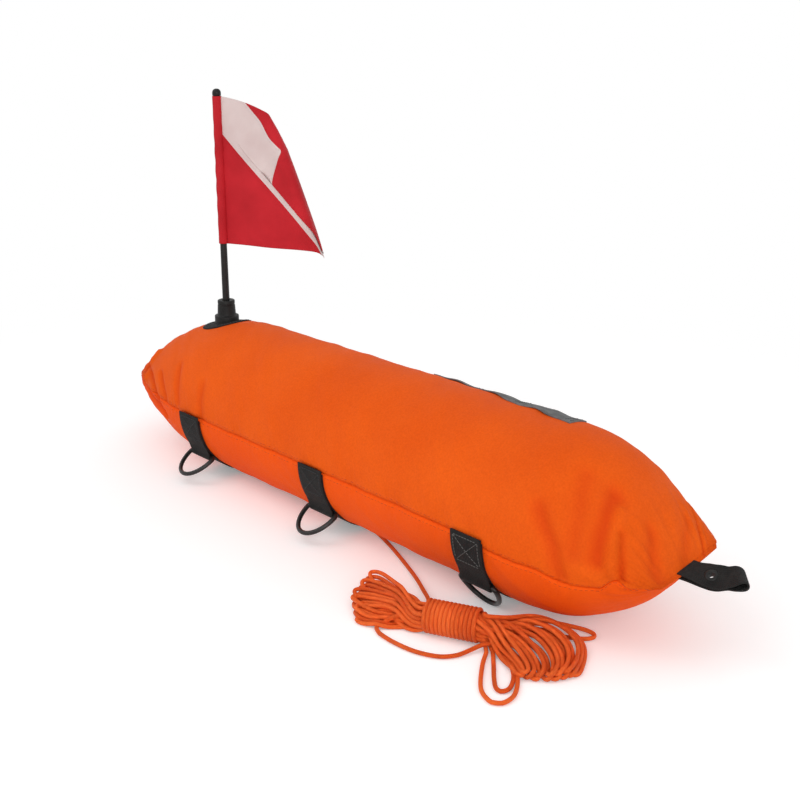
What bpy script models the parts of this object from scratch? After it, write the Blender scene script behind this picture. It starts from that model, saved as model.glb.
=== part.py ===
"""Diver's surface float: an inflatable torpedo with a flag, D-rings and a hank of line.

The float lies along X with its nose at +X, rests on its belly on Z = 0, and its
flag end is at -X.  Every length is in metres.
"""
import bpy
import bmesh
import math
from mathutils import Matrix, Vector

COLLECTION = "dive_flag_float"

# Cover: two nylon panels that meet in one level seam
HALF_WIDTH = 0.0875
CROWN_RISE = 0.0945
BELLY_DROP = 0.0805
BELLY_LIFT = 0.0005
SEAM_HEIGHT = BELLY_DROP + BELLY_LIFT
NOSE_X = 0.402
TAIL_X = -0.425
NOSE_TAPER = 0.135
TAIL_TAPER = 0.205
NOSE_HALF_WIDTH = 0.046
TAIL_HALF_WIDTH = 0.034
SEAM_LIP = 0.005
FABRIC = 0.0008
SWELL_SHARE = 0.8
LIP_CORNER_SHARE = 0.85
LIFT_FADE = 0.010
PANEL_STEPS = 16
BLADDER_STEPS = 24

# Clearances
SEAT_GAP = 0.0003
CUT_OVERRUN = 0.005
WELD = 0.00001

# Bladder inside the cover
BLADDER_WALL = 0.0005
BLADDER_CLEARANCE = 0.0005
BLADDER_END_GAP = 0.006

# Valve in the bladder, reached through the zip
VALVE_X = -0.060
VALVE_NECK_RADIUS = 0.0062
VALVE_BORE_RADIUS = 0.0036
VALVE_LENGTH = 0.018
VALVE_FLANGE_RADIUS = 0.013
VALVE_FLANGE_THICKNESS = 0.0012
PLUG_HEAD_RADIUS = 0.0050
PLUG_HEAD_HEIGHT = 0.0018
PLUG_LENGTH = 0.010

# Webbing under the belly
WEBBING_WIDTH = 0.038
WEBBING = 0.0016
STRAP_PITCH = 0.225
STRAP_NAMES = ("rear", "middle", "front")
STRAP_END_ANGLE = math.radians(1.5)
BAR_ANGLE = math.radians(37)
FOLD_SLOPE = 0.006

# D-rings
RING_WIRE = 0.0045
RING_CLEARANCE = 0.00035
RING_SIDE_PLAY = 0.0008
RING_DEPTH = 0.033
RING_CORNER = 0.0030
RING_REST_DIP = math.radians(31)
FRONT_RING_DIP = math.radians(124)

# Mast patch, socket and staff
MAST_X = -0.270
PATCH_RADIUS = 0.030
PATCH_THICKNESS = 0.0008
SOCKET_RADIUS = 0.011
SOCKET_HEIGHT = 0.0255
SOCKET_FLANGE_RADIUS = 0.0145
SOCKET_FLANGE_HEIGHT = 0.0068
SOCKET_DRAFT = 0.0007
SOCKET_LIP = 0.0008
SOCKET_FLOOR = 0.005
STAFF_FOOT_RADIUS = 0.0042
STAFF_TOP_RADIUS = 0.0034
STAFF_BARE = 0.0688
CAP_WALL = 0.0012
CAP_DEPTH = 0.004
CAP_DOME = 0.0035

# Flag on its sleeve
FLAG_HOIST = 0.170
FLAG_FLY = 0.172
FLAG_CAP_GAP = 0.0005
FLAG_CLOTH = 0.0006
FLAG_SLEEVE_WALL = 0.0007
FLAG_YAW = math.radians(22)
STRIPE_WIDTH = 0.037
FOLD_TOP = 0.055
FOLD_FOOT = 0.118
FOLD_ANGLE = math.radians(112)
FOLD_LENGTH = 0.018
DROOP_SHARE = 0.30

# Gear strap over the far side of the crown, nearer the top towards the nose
GEAR_WIDTH = 0.025
GEAR_THICKNESS = 0.0015
GEAR_TAIL_X = 0.050
GEAR_NOSE_X = 0.258
GEAR_TAIL_ANGLE = math.radians(56)
GEAR_NOSE_ANGLE = math.radians(76)
GEAR_TACK = 0.012
GEAR_BOWS = 3
GEAR_RISE = 0.003

# Zip on the far side
ZIP_ANGLE = math.radians(22.5)
ZIP_TAIL_X = -0.150
ZIP_NOSE_X = 0.150
ZIP_COIL_WIDTH = 0.0052
ZIP_COIL_HEIGHT = 0.0022
ZIP_TAPE_WIDTH = 0.011
ZIP_TAPE = 0.0007
ZIP_SLOT = 0.0045
ZIP_STOP_LENGTH = 0.003
ZIP_STOP_HEIGHT = 0.0034
SLIDER_LENGTH = 0.010
SLIDER_WALL = 0.0011
SLIDER_EAR = 0.0012
SLIDER_EAR_HEIGHT = 0.0032
PULL_WIDTH = 0.0056
PULL_LENGTH = 0.024
PULL_THICKNESS = 0.0012
PULL_PIN_RADIUS = 0.0007
PULL_REST_ANGLE = math.radians(5)

# Tow loop at the nose
TOW_WIDTH = 0.025
TOW_LENGTH = 0.050
TOW_OVERLAP = 0.0042
TOW_EYE_RADIUS = 0.0034
TOW_EYE_LENGTH = 0.014
EYELET_X = 0.018
EYELET_BORE = 0.0030
EYELET_RADIUS = 0.0060
EYELET_LIP = 0.0009
EYELET_BARREL = 0.0008

# Line: a lead to a tied hank that lies in front of the nose half
LINE = 0.004
HANK_X = 0.243
HANK_Y = -0.123
HANK_YAW = math.radians(25)
HANK_LAYERS = 4
LAYER_LOOPS = 3
LOOP_POINTS = 24
WAIST_STEP = 0.0047
LAYER_STEP = 0.0047
FAN_STEP = 0.0088
FAN_LAYER_STEP = 0.0072
FAN_START = 0.034
FAN_FULL = 0.072
HANK_LEFT = 0.080
HANK_RIGHT = 0.118
HANK_SAG = 0.024
HANK_END = 0.040
WRAP_CLEAR = 0.0048
WRAP_TURNS = 12
WRAP_POINTS = 16
WRAP_STEP = 0.0046
LEAD_POINTS = 60

# Colours as they read in the photograph
ORANGE = (0.86, 0.15, 0.015, 1)
DEEP_ORANGE = (0.78, 0.10, 0.012, 1)
LINE_ORANGE = (0.90, 0.13, 0.02, 1)
BLACK = (0.018, 0.018, 0.020, 1)
GREY_BLACK = (0.040, 0.040, 0.043, 1)
FLAG_RED = (0.50, 0.008, 0.020, 1)
FLAG_WHITE = (0.80, 0.74, 0.74, 1)
PALE = (0.72, 0.74, 0.76, 1)
STEEL = (0.35, 0.35, 0.36, 1)


def clear_scene():
    for item in list(bpy.data.objects):
        bpy.data.objects.remove(item, do_unlink=True)


def make_collection(name):
    group = bpy.data.collections.new(name)
    bpy.context.scene.collection.children.link(group)
    return group


def material(name, colour, roughness, metallic=0):
    skin = bpy.data.materials.new(name)
    skin.use_nodes = True
    skin.diffuse_color = colour
    shader = skin.node_tree.nodes["Principled BSDF"]
    shader.inputs["Base Color"].default_value = colour
    shader.inputs["Roughness"].default_value = roughness
    shader.inputs["Metallic"].default_value = metallic
    return skin


def add_object(name, data, skin, parent=None):
    item = bpy.data.objects.new(name, data)
    data.materials.append(skin)
    parts.objects.link(item)
    item.parent = parent
    return item


def add_empty(name, location, rotation=None, parent=None):
    item = bpy.data.objects.new(name, None)
    parts.objects.link(item)
    item.parent = parent
    item.location = location
    if rotation is not None:
        item.rotation_euler = rotation.to_euler()
    return item


def surface_mesh(name, rows, closed=False):
    """Loft one quad surface through rows that hold equally many points."""
    mesh = bmesh.new()
    grid = [[mesh.verts.new(point) for point in row] for row in rows]
    count = len(rows[0])
    last = count if closed else count - 1
    for low, high in zip(grid, grid[1:]):
        for i in range(last):
            j = (i + 1) % count
            mesh.faces.new((low[i], low[j], high[j], high[i]))
    if closed:
        mesh.faces.new(list(reversed(grid[0])))
        mesh.faces.new(grid[-1])
    data = bpy.data.meshes.new(name)
    mesh.normal_update()
    mesh.to_mesh(data)
    mesh.free()
    data.shade_smooth()
    return data


def add_shell(name, rows, thickness, skin, offset=-1, parent=None):
    item = add_object(name, surface_mesh(name, rows), skin, parent)
    shell = item.modifiers.new("cloth thickness", "SOLIDIFY")
    shell.thickness = thickness
    shell.offset = offset
    return item


def add_turned(name, profile, steps, skin, parent=None):
    """Turn a profile at +X, listed down its outer side, once round Z."""
    data = bpy.data.meshes.new(name)
    points = [(radius, 0, height) for radius, height in profile]
    edges = [(i, i + 1) for i in range(len(points) - 1)]
    data.from_pydata(points, edges, [])
    item = add_object(name, data, skin, parent)
    screw = item.modifiers.new("turn", "SCREW")
    screw.steps = steps
    screw.render_steps = steps
    screw.use_merge_vertices = True
    screw.merge_threshold = WELD
    screw.use_smooth_shade = True
    return item


def add_tube(name, points, radius, skin, cyclic=False, resolution=2, parent=None):
    data = bpy.data.curves.new(name, "CURVE")
    data.dimensions = "3D"
    data.bevel_depth = radius
    data.bevel_resolution = resolution
    data.use_fill_caps = not cyclic
    spline = data.splines.new("POLY")
    spline.points.add(len(points) - 1)
    for slot, point in zip(spline.points, points):
        slot.co = (*point, 1)
    spline.use_cyclic_u = cyclic
    return add_object(name, data, skin, parent)


def add_plate(name, outlines, thickness, skin, parent=None):
    """Extrude flat outlines, the later ones as holes, along their local Z."""
    data = bpy.data.curves.new(name, "CURVE")
    data.dimensions = "2D"
    data.fill_mode = "BOTH"
    data.extrude = thickness / 2
    for outline in outlines:
        spline = data.splines.new("POLY")
        spline.points.add(len(outline) - 1)
        for slot, point in zip(spline.points, outline):
            slot.co = (point[0], point[1], 0, 1)
        spline.use_cyclic_u = True
    return add_object(name, data, skin, parent)


def to_mesh_object(item):
    """Turn a curve object into a welded mesh that Booleans can use."""
    bpy.context.view_layer.update()
    depsgraph = bpy.context.evaluated_depsgraph_get()
    evaluated = item.evaluated_get(depsgraph)
    data = bpy.data.meshes.new_from_object(evaluated)
    mesh = bmesh.new()
    mesh.from_mesh(data)
    bmesh.ops.remove_doubles(mesh, verts=mesh.verts, dist=WELD)
    mesh.to_mesh(data)
    mesh.free()
    name = item.name
    place = item.matrix_world.copy()
    parent = item.parent
    bpy.data.objects.remove(item, do_unlink=True)
    solid = bpy.data.objects.new(name, data)
    parts.objects.link(solid)
    if parent is not None:
        solid.parent = parent
        solid.matrix_parent_inverse = parent.matrix_world.inverted()
    solid.matrix_world = place
    return solid


def add_box(name, size, centre, skin, parent=None, bevel=0):
    mesh = bmesh.new()
    bmesh.ops.create_cube(mesh, size=1)
    bmesh.ops.scale(mesh, vec=size, verts=mesh.verts)
    bmesh.ops.translate(mesh, vec=centre, verts=mesh.verts)
    if bevel:
        bmesh.ops.bevel(mesh, geom=mesh.edges[:], offset=bevel, segments=2,
                        profile=0.5, affect="EDGES", material=-1)
    data = bpy.data.meshes.new(name)
    mesh.to_mesh(data)
    mesh.free()
    return add_object(name, data, skin, parent)


def add_cutter(name, size=None, radius=None, depth=None, parent=None, centre=(0, 0, 0)):
    """A box of the given size, or a cylinder along its local Z."""
    mesh = bmesh.new()
    if size is not None:
        bmesh.ops.create_cube(mesh, size=1)
        bmesh.ops.scale(mesh, vec=size, verts=mesh.verts)
    else:
        bmesh.ops.create_cone(mesh, cap_ends=True, segments=24, radius1=radius,
                              radius2=radius, depth=depth)
    bmesh.ops.translate(mesh, vec=centre, verts=mesh.verts)
    data = bpy.data.meshes.new(name)
    mesh.to_mesh(data)
    mesh.free()
    return hide_cutter(bpy.data.objects.new(name, data), parent)


def hide_cutter(item, parent=None):
    cutters.objects.link(item)
    item.parent = parent
    item.hide_render = True
    item.display_type = "WIRE"
    return item


def cut(item, cutter, operation="DIFFERENCE"):
    boolean = item.modifiers.new(cutter.name, "BOOLEAN")
    boolean.operation = operation
    boolean.object = cutter
    return boolean


def smooth_step(value):
    value = min(max(value, 0), 1)
    return value * value * (3 - 2 * value)


def circle(radius, steps, centre=(0, 0)):
    turn = 2 * math.pi / steps
    return [(centre[0] + radius * math.cos(i * turn), centre[1] + radius * math.sin(i * turn))
            for i in range(steps)]


def swell(share):
    """Fullness of a section, from the flat end seam at 0 to the full girth at 1."""
    share = min(max(share, 0), 1)
    return (1 - (1 - share) ** 2) ** SWELL_SHARE


def girth(x, inset=0):
    """Half width, crown rise and belly drop of the cover at x."""
    from_nose = NOSE_X - SEAM_LIP - inset - x
    from_tail = x - TAIL_X - SEAM_LIP - inset
    if from_nose / NOSE_TAPER < from_tail / TAIL_TAPER:
        share, end = from_nose / NOSE_TAPER, NOSE_HALF_WIDTH
    else:
        share, end = from_tail / TAIL_TAPER, TAIL_HALF_WIDTH
    full = swell(share)
    if share < 0:
        lip = min(-share * (NOSE_TAPER if end == NOSE_HALF_WIDTH else TAIL_TAPER) / SEAM_LIP, 1)
        end = end * (1 - (1 - LIP_CORNER_SHARE) * lip)
    width = end + (HALF_WIDTH - end) * full
    return width, CROWN_RISE * full, BELLY_DROP * full


def stations(end_steps, middle_steps, inset=0):
    """Places along X, close together where the ends draw in."""
    nose = NOSE_X - SEAM_LIP - inset
    tail = TAIL_X + SEAM_LIP + inset
    places = []
    for i in range(end_steps):
        places.append(tail + TAIL_TAPER * (1 - math.cos(i / end_steps * math.pi / 2)))
    straight = nose - NOSE_TAPER - tail - TAIL_TAPER
    for i in range(middle_steps):
        places.append(tail + TAIL_TAPER + straight * i / middle_steps)
    for i in range(end_steps, -1, -1):
        places.append(nose - NOSE_TAPER * (1 - math.cos(i / end_steps * math.pi / 2)))
    return places


def panel_rows(side):
    """Points of the upper (side 1) or the belly panel (side -1), from tail to nose."""
    rows = []
    places = [TAIL_X] + stations(6, 6) + [NOSE_X]
    turn = math.pi / PANEL_STEPS
    for x in places:
        width, rise, drop = girth(x)
        height = rise if side > 0 else drop
        edge = math.hypot(width * (1 - math.cos(turn)), height * math.sin(turn))
        lift = SEAT_GAP / 2 + FABRIC * width * (1 - math.cos(turn)) / edge
        row = []
        for i in range(PANEL_STEPS + 1):
            bulge = height * math.sin(i * turn)
            clear = lift * max(1 - bulge / LIFT_FADE, 0)
            z = SEAM_HEIGHT + side * (bulge + clear)
            row.append((x, width * math.cos(i * turn), max(z, WEBBING + SEAT_GAP)))
        rows.append(row if side > 0 else list(reversed(row)))
    return rows


def cover_point(x, angle, offset=0):
    """Point on the upper panel at an angle from the far seam, and its outward normal."""
    width, rise, drop = girth(x)
    normal = Vector((0, math.cos(angle) / width, math.sin(angle) / rise)).normalized()
    point = Vector((x, width * math.cos(angle), SEAM_HEIGHT + rise * math.sin(angle)))
    return point + normal * offset, normal


def cover_frame(angle):
    """Rotation whose local Z is the upper panel's normal and local X runs along the float."""
    normal = cover_point(0, angle)[1]
    side = normal.cross(Vector((1, 0, 0)))
    return Matrix((Vector((1, 0, 0)), side, normal)).transposed()


def crown_height(x, y):
    width, rise, drop = girth(x)
    return SEAM_HEIGHT + rise * math.sqrt(1 - (y / width) ** 2)


def build_cover():
    upper = add_shell("upper_cover_panel", panel_rows(1), FABRIC, orange_nylon)
    lower = add_shell("belly_cover_panel", panel_rows(-1), FABRIC, deep_orange_nylon)
    length = ZIP_NOSE_X - ZIP_TAIL_X
    slot = add_cutter("zip_slot", size=(length, ZIP_SLOT, 2 * CUT_OVERRUN), parent=zip_frame)
    cut(upper, slot)
    return upper, lower


def bladder_row(x):
    """Section of the bladder, a little inside the cover."""
    inset = FABRIC + BLADDER_CLEARANCE
    width, rise, drop = girth(x, BLADDER_END_GAP / 2)
    row = []
    for i in range(BLADDER_STEPS):
        angle = 2 * math.pi * i / BLADDER_STEPS
        sine = math.sin(angle)
        height = (rise if sine > 0 else drop) - inset
        z = max(SEAM_HEIGHT + height * sine, WEBBING + SEAT_GAP + inset)
        row.append(Vector((x, (width - inset) * math.cos(angle), z)))
    return row


def valve_place():
    """Middle of the bladder wall's flat that lies nearest the zip, and its rotation."""
    row = bladder_row(VALVE_X)
    index = int(ZIP_ANGLE / (2 * math.pi) * BLADDER_STEPS)
    low, high = row[index], row[index + 1]
    along = Vector((1, 0, 0))
    side = (low - high).normalized()
    turn = Matrix((along, side, along.cross(side))).transposed()
    return (low + high) / 2, turn


def build_bladder():
    rows = [bladder_row(x) for x in stations(6, 5, BLADDER_END_GAP)[1:-1]]
    bladder = add_object("bladder", surface_mesh("bladder", rows, closed=True), clear_vinyl)
    wall = bladder.modifiers.new("wall", "SOLIDIFY")
    wall.thickness = BLADDER_WALL
    wall.offset = -1
    hole = add_cutter("valve_hole", radius=VALVE_NECK_RADIUS + SEAT_GAP,
                      depth=2 * VALVE_LENGTH, parent=valve_frame)
    cut(bladder, hole)
    return bladder


def build_valve():
    """A push-in valve: its flange is welded inside the bladder wall, the neck stands in."""
    under_wall = -BLADDER_WALL - SEAT_GAP
    flange_foot = under_wall - VALVE_FLANGE_THICKNESS
    recess = PLUG_HEAD_HEIGHT + SEAT_GAP
    neck = VALVE_NECK_RADIUS
    body = [
        (PLUG_HEAD_RADIUS + SEAT_GAP, 0),
        (neck, 0),
        (neck, under_wall),
        (VALVE_FLANGE_RADIUS, under_wall),
        (VALVE_FLANGE_RADIUS, flange_foot),
        (neck, flange_foot),
        (neck, -VALVE_LENGTH),
        (VALVE_BORE_RADIUS, -VALVE_LENGTH),
        (VALVE_BORE_RADIUS, -recess),
        (PLUG_HEAD_RADIUS + SEAT_GAP, -recess),
        (PLUG_HEAD_RADIUS + SEAT_GAP, 0),
    ]
    add_turned("valve_body", body, 24, clear_vinyl, valve_frame)
    stem = VALVE_BORE_RADIUS - SEAT_GAP
    top = -SEAT_GAP
    plug = [
        (0, top),
        (PLUG_HEAD_RADIUS, top),
        (PLUG_HEAD_RADIUS, top - PLUG_HEAD_HEIGHT + SEAT_GAP),
        (stem, top - PLUG_HEAD_HEIGHT + SEAT_GAP),
        (stem, top - PLUG_LENGTH),
        (0, top - PLUG_LENGTH),
    ]
    add_turned("valve_plug", plug, 20, clear_vinyl, valve_frame)


def belly_point(angle, offset):
    """Point outside the belly panel, at an angle below the near seam."""
    y = -(HALF_WIDTH + offset) * math.cos(angle)
    z = SEAM_HEIGHT - (BELLY_DROP + offset) * math.sin(angle)
    return y, z


def belly_run(start, offset, floor, steps):
    """Points from an angle to the flat that the float rests on, and its middle."""
    flat = math.asin((SEAM_HEIGHT - floor) / (BELLY_DROP + offset))
    run = [belly_point(start + (flat - start) * i / steps, offset) for i in range(steps + 1)]
    return run + [(0, floor)]


def ring_bar():
    """Place of the near D-ring bars, with the tangent towards the belly and the normal."""
    offset = SEAT_GAP + WEBBING + RING_WIRE / 2 + RING_CLEARANCE
    y, z = belly_point(BAR_ANGLE, offset)
    normal = Vector((-math.cos(BAR_ANGLE) / HALF_WIDTH, -math.sin(BAR_ANGLE) / BELLY_DROP))
    normal.normalize()
    tangent = Vector((-normal.y, normal.x))
    return Vector((y, z)), tangent, normal


def strap_outline():
    """Cross-section of a belly strap, from the near seam round the belly to the far one."""
    bar, tangent, normal = ring_bar()
    inner = SEAT_GAP
    single = SEAT_GAP + WEBBING
    double = single + WEBBING
    fold = RING_WIRE / 2 + RING_CLEARANCE + WEBBING
    outer_half = []
    reach = (fold + FOLD_SLOPE) / HALF_WIDTH
    for i in range(5):
        angle = STRAP_END_ANGLE + (BAR_ANGLE - reach - STRAP_END_ANGLE) * i / 4
        outer_half.append(belly_point(angle, double))
    for i in range(9):
        sweep = math.pi - math.pi * i / 8
        outer_half.append(tuple(bar + tangent * fold * math.cos(sweep)
                                + normal * fold * math.sin(sweep)))
    outer_half += belly_run(BAR_ANGLE + fold / HALF_WIDTH, single, 0, 6)
    inner_half = belly_run(STRAP_END_ANGLE, inner, WEBBING, 12)
    outline = outer_half + [(-y, z) for y, z in reversed(outer_half[:-1])]
    outline += [(-y, z) for y, z in inner_half[:-1]]
    outline += list(reversed(inner_half))
    return outline


def build_straps():
    """Three webbing straps, each folded round the bars of its two D-rings."""
    outline = strap_outline()
    bar = ring_bar()[0]
    tunnel = RING_WIRE / 2 + RING_CLEARANCE
    holes = [circle(tunnel, 12, (side * bar.x, bar.y)) for side in (1, -1)]
    for index, name in enumerate(STRAP_NAMES):
        strap = add_plate(name + "_belly_strap", [outline] + holes, WEBBING_WIDTH, black_webbing)
        strap.rotation_euler = (math.pi / 2, 0, math.pi / 2)
        strap.location = ((index - 1) * STRAP_PITCH, 0, 0)


def ring_points():
    """Centre line of a D-ring: the bar along X at zero, the bow towards -Y."""
    half = WEBBING_WIDTH / 2 + RING_SIDE_PLAY + RING_WIRE / 2
    corner = RING_CORNER
    points = []
    for i in range(4):
        angle = math.pi / 2 * i / 3
        points.append((half - corner + corner * math.sin(angle),
                       -corner + corner * math.cos(angle), 0))
    for i in range(1, 10):
        angle = math.pi * i / 10
        points.append((half * math.cos(angle),
                       -corner - (RING_DEPTH - corner) * math.sin(angle), 0))
    for i in range(4):
        angle = math.pi / 2 * (3 - i) / 3
        points.append((-half + corner - corner * math.sin(angle),
                       -corner + corner * math.cos(angle), 0))
    return points


def build_rings():
    points = ring_points()
    bar = ring_bar()[0]
    for index, strap in enumerate(STRAP_NAMES):
        for side, side_name in ((1, "near"), (-1, "far")):
            front_near = strap == "front" and side > 0
            dip = FRONT_RING_DIP if front_near else RING_REST_DIP
            ring = add_tube(f"{strap}_{side_name}_ring", points, RING_WIRE / 2,
                            black_coated_wire, cyclic=True)
            ring.location = ((index - 1) * STRAP_PITCH, side * bar.x, bar.y)
            ring.rotation_euler = (dip, 0, 0 if side > 0 else math.pi)


def slab_mesh(name, centre_x, radius, low, high, rings=4, spokes=28):
    """A round piece between two surfaces that follow the crown."""
    mesh = bmesh.new()
    layers = []
    for offset in (low, high):
        middle = mesh.verts.new((centre_x, 0, crown_height(centre_x, 0) + offset))
        grid = []
        for k in range(1, rings + 1):
            loop = []
            for i in range(spokes):
                angle = 2 * math.pi * i / spokes
                x = centre_x + radius * k / rings * math.cos(angle)
                y = radius * k / rings * math.sin(angle)
                loop.append(mesh.verts.new((x, y, crown_height(x, y) + offset)))
            grid.append(loop)
        layers.append((middle, grid))
    for (middle, grid), top in zip(layers, (False, True)):
        for i in range(spokes):
            j = (i + 1) % spokes
            face = (middle, grid[0][i], grid[0][j])
            mesh.faces.new(face if top else face[::-1])
            for inner, outer in zip(grid, grid[1:]):
                face = (inner[i], outer[i], outer[j], inner[j])
                mesh.faces.new(face if top else face[::-1])
    foot, head = layers[0][1][-1], layers[1][1][-1]
    for i in range(spokes):
        j = (i + 1) % spokes
        mesh.faces.new((foot[i], foot[j], head[j], head[i]))
    data = bpy.data.meshes.new(name)
    mesh.normal_update()
    mesh.to_mesh(data)
    mesh.free()
    return data


def patch_top():
    """Height of the patch's upper face over the crown."""
    return SEAT_GAP + SEAT_GAP + PATCH_THICKNESS


def socket_seat():
    return crown_height(MAST_X, 0) + patch_top() + SEAT_GAP


def flag_foot():
    """Height of the flag's lower edge, above a bare length of staff."""
    return socket_seat() + SOCKET_HEIGHT + STAFF_BARE


def staff_top():
    return flag_foot() + FLAG_HOIST + FLAG_CAP_GAP + CAP_DEPTH


def build_mast():
    """Patch on the crown, the moulded socket, the staff in its bore and the end cap."""
    patch_high = patch_top()
    patch_low = patch_high - PATCH_THICKNESS
    add_object("mast_patch", slab_mesh("mast_patch", MAST_X, PATCH_RADIUS, patch_low, patch_high),
               black_patch)
    seat = socket_seat()
    top = seat + SOCKET_HEIGHT
    tip = staff_top()
    bore = STAFF_FOOT_RADIUS + SEAT_GAP
    bore_floor = seat + SOCKET_FLOOR
    profile = [
        (bore, top),
        (SOCKET_RADIUS - SOCKET_DRAFT - SOCKET_LIP, top),
        (SOCKET_RADIUS - SOCKET_DRAFT, top - SOCKET_LIP),
        (SOCKET_RADIUS, seat + SOCKET_FLANGE_HEIGHT),
        (SOCKET_FLANGE_RADIUS - SOCKET_LIP, seat + SOCKET_FLANGE_HEIGHT),
        (SOCKET_FLANGE_RADIUS, seat + SOCKET_FLANGE_HEIGHT - SOCKET_LIP),
        (SOCKET_FLANGE_RADIUS, seat - CUT_OVERRUN),
        (0, seat - CUT_OVERRUN),
    ]
    profile += [(0, bore_floor), (bore, bore_floor), (bore, top)]
    socket = add_turned("staff_socket", profile, 32, black_rubber)
    socket.location = (MAST_X, 0, 0)
    bed = bpy.data.objects.new("socket_bed", slab_mesh("socket_bed", MAST_X,
                               SOCKET_FLANGE_RADIUS + CUT_OVERRUN, -4 * CUT_OVERRUN,
                               patch_high + SEAT_GAP))
    cut(socket, hide_cutter(bed))

    staff_foot = bore_floor + SEAT_GAP
    staff_profile = [
        (0, tip),
        (STAFF_TOP_RADIUS, tip),
        (STAFF_FOOT_RADIUS, top + SOCKET_FLANGE_HEIGHT),
        (STAFF_FOOT_RADIUS, staff_foot),
        (0, staff_foot),
    ]
    staff = add_turned("flag_staff", [(r, z - staff_foot) for r, z in staff_profile], 24,
                       black_plastic)
    staff.location = (MAST_X, 0, staff_foot)

    skirt = tip - CAP_DEPTH
    drop_share = CAP_DEPTH / (tip - top)
    bore_radius = STAFF_TOP_RADIUS + SEAT_GAP + (STAFF_FOOT_RADIUS - STAFF_TOP_RADIUS) * drop_share
    outer = bore_radius + CAP_WALL
    crown = tip + SEAT_GAP + CAP_DOME
    dome = []
    for i in range(6):
        angle = math.pi / 2 * (1 - i / 5)
        dome.append((outer * math.cos(angle), crown - CAP_DOME + CAP_DOME * math.sin(angle)))
    dome[0] = (0, crown)
    profile = dome + [(outer, skirt), (bore_radius, skirt),
                      (bore_radius, tip + SEAT_GAP), (0, tip + SEAT_GAP)]
    cap = add_turned("staff_cap", profile, 24, black_plastic)
    cap.location = (MAST_X, 0, 0)


def flag_point(along, up):
    """Place of a point of the cloth, from its distance along the fly and up the hoist.

    The cloth stands straight out to a slanting fold and hangs back and down past it."""
    start = FOLD_TOP + (FOLD_FOOT - FOLD_TOP) * (1 - up / FLAG_HOIST)
    straight = min(along, start)
    past = max(along - start, 0)
    steps = 12
    out, back = straight, 0
    for i in range(steps):
        travelled = past * (i + 0.5) / steps
        angle = FOLD_ANGLE * smooth_step(travelled / FOLD_LENGTH)
        out += math.cos(angle) * past / steps
        back += math.sin(angle) * past / steps
    drop = DROOP_SHARE * past * smooth_step(past / FOLD_LENGTH)
    keep = math.sqrt(1 - (DROOP_SHARE * smooth_step(past / FOLD_LENGTH)) ** 2)
    return straight + (out - straight) * keep, back * keep, up - drop


def cloth_rows(left, right, foot, head, rows, columns):
    """Grid over a piece of cloth whose left and right edges depend on the height."""
    grid = []
    for r in range(rows + 1):
        up = foot + (head - foot) * r / rows
        start, end = left(up), right(up)
        grid.append([flag_point(start + (end - start) * c / columns, up)
                     for c in range(columns + 1)])
    return grid


def build_flag():
    """Sleeve round the staff, and three cloth pieces sewn along the stripe."""
    bore = STAFF_FOOT_RADIUS + SEAT_GAP
    outer = bore + FLAG_SLEEVE_WALL
    profile = [(bore, FLAG_HOIST), (outer, FLAG_HOIST), (outer, 0), (bore, 0), (bore, FLAG_HOIST)]
    frame = add_empty("flag_swing", (MAST_X, 0, flag_foot()),
                      Matrix.Rotation(FLAG_YAW, 3, "Z"))
    add_turned("flag_sleeve", profile, 24, red_cloth, frame)
    edge = outer + SEAT_GAP
    seam = SEAT_GAP

    def stripe_low(up):
        return (FLAG_HOIST - STRIPE_WIDTH - up) * FLAG_FLY / FLAG_HOIST

    def stripe_high(up):
        return (FLAG_HOIST + STRIPE_WIDTH - up) * FLAG_FLY / FLAG_HOIST

    def hoist(up):
        return edge

    def fly(up):
        return FLAG_FLY

    def low_right(up):
        return stripe_low(up) - seam

    def white_left(up):
        return max(stripe_low(up) + seam, edge)

    def white_right(up):
        return min(stripe_high(up) - seam, FLAG_FLY)

    def high_left(up):
        return stripe_high(up) + seam

    tip = STRIPE_WIDTH / 8
    pieces = (
        ("flag_lower_red", hoist, low_right, 0, FLAG_HOIST - STRIPE_WIDTH - edge - tip, 10, 10,
         red_cloth),
        ("flag_white_stripe", white_left, white_right, 0, FLAG_HOIST, 14, 6, white_cloth),
        ("flag_upper_red", high_left, fly, STRIPE_WIDTH + tip, FLAG_HOIST, 10, 10, red_cloth),
    )
    for name, left, right, foot, head, rows, columns, skin in pieces:
        grid = cloth_rows(left, right, foot, head, rows, columns)
        add_shell(name, grid, FLAG_CLOTH, skin, offset=0, parent=frame)


def build_gear_strap():
    """Webbing tacked along the crown, bowed up between its tacks as gear loops."""
    pitch = (GEAR_NOSE_X - GEAR_TAIL_X - GEAR_TACK) / GEAR_BOWS
    steps = 8
    places = [(GEAR_TAIL_X, 0)]
    for bow in range(GEAR_BOWS):
        start = GEAR_TAIL_X + GEAR_TACK + bow * pitch
        for i in range(steps + 1):
            share = i / steps
            rise = GEAR_RISE * math.sin(math.pi * share) ** 2
            places.append((start + (pitch - GEAR_TACK) * share, rise))
    places.append((GEAR_NOSE_X, 0))
    half_turn = GEAR_WIDTH / 2 / HALF_WIDTH
    rows = []
    for x, rise in places:
        share = (x - GEAR_TAIL_X) / (GEAR_NOSE_X - GEAR_TAIL_X)
        middle = GEAR_TAIL_ANGLE + (GEAR_NOSE_ANGLE - GEAR_TAIL_ANGLE) * share
        rows.append([cover_point(x, middle + half_turn * i / 2, SEAT_GAP + rise)[0]
                     for i in range(-2, 3)])
    add_shell("gear_strap", rows, GEAR_THICKNESS, grey_webbing, offset=1)


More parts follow.
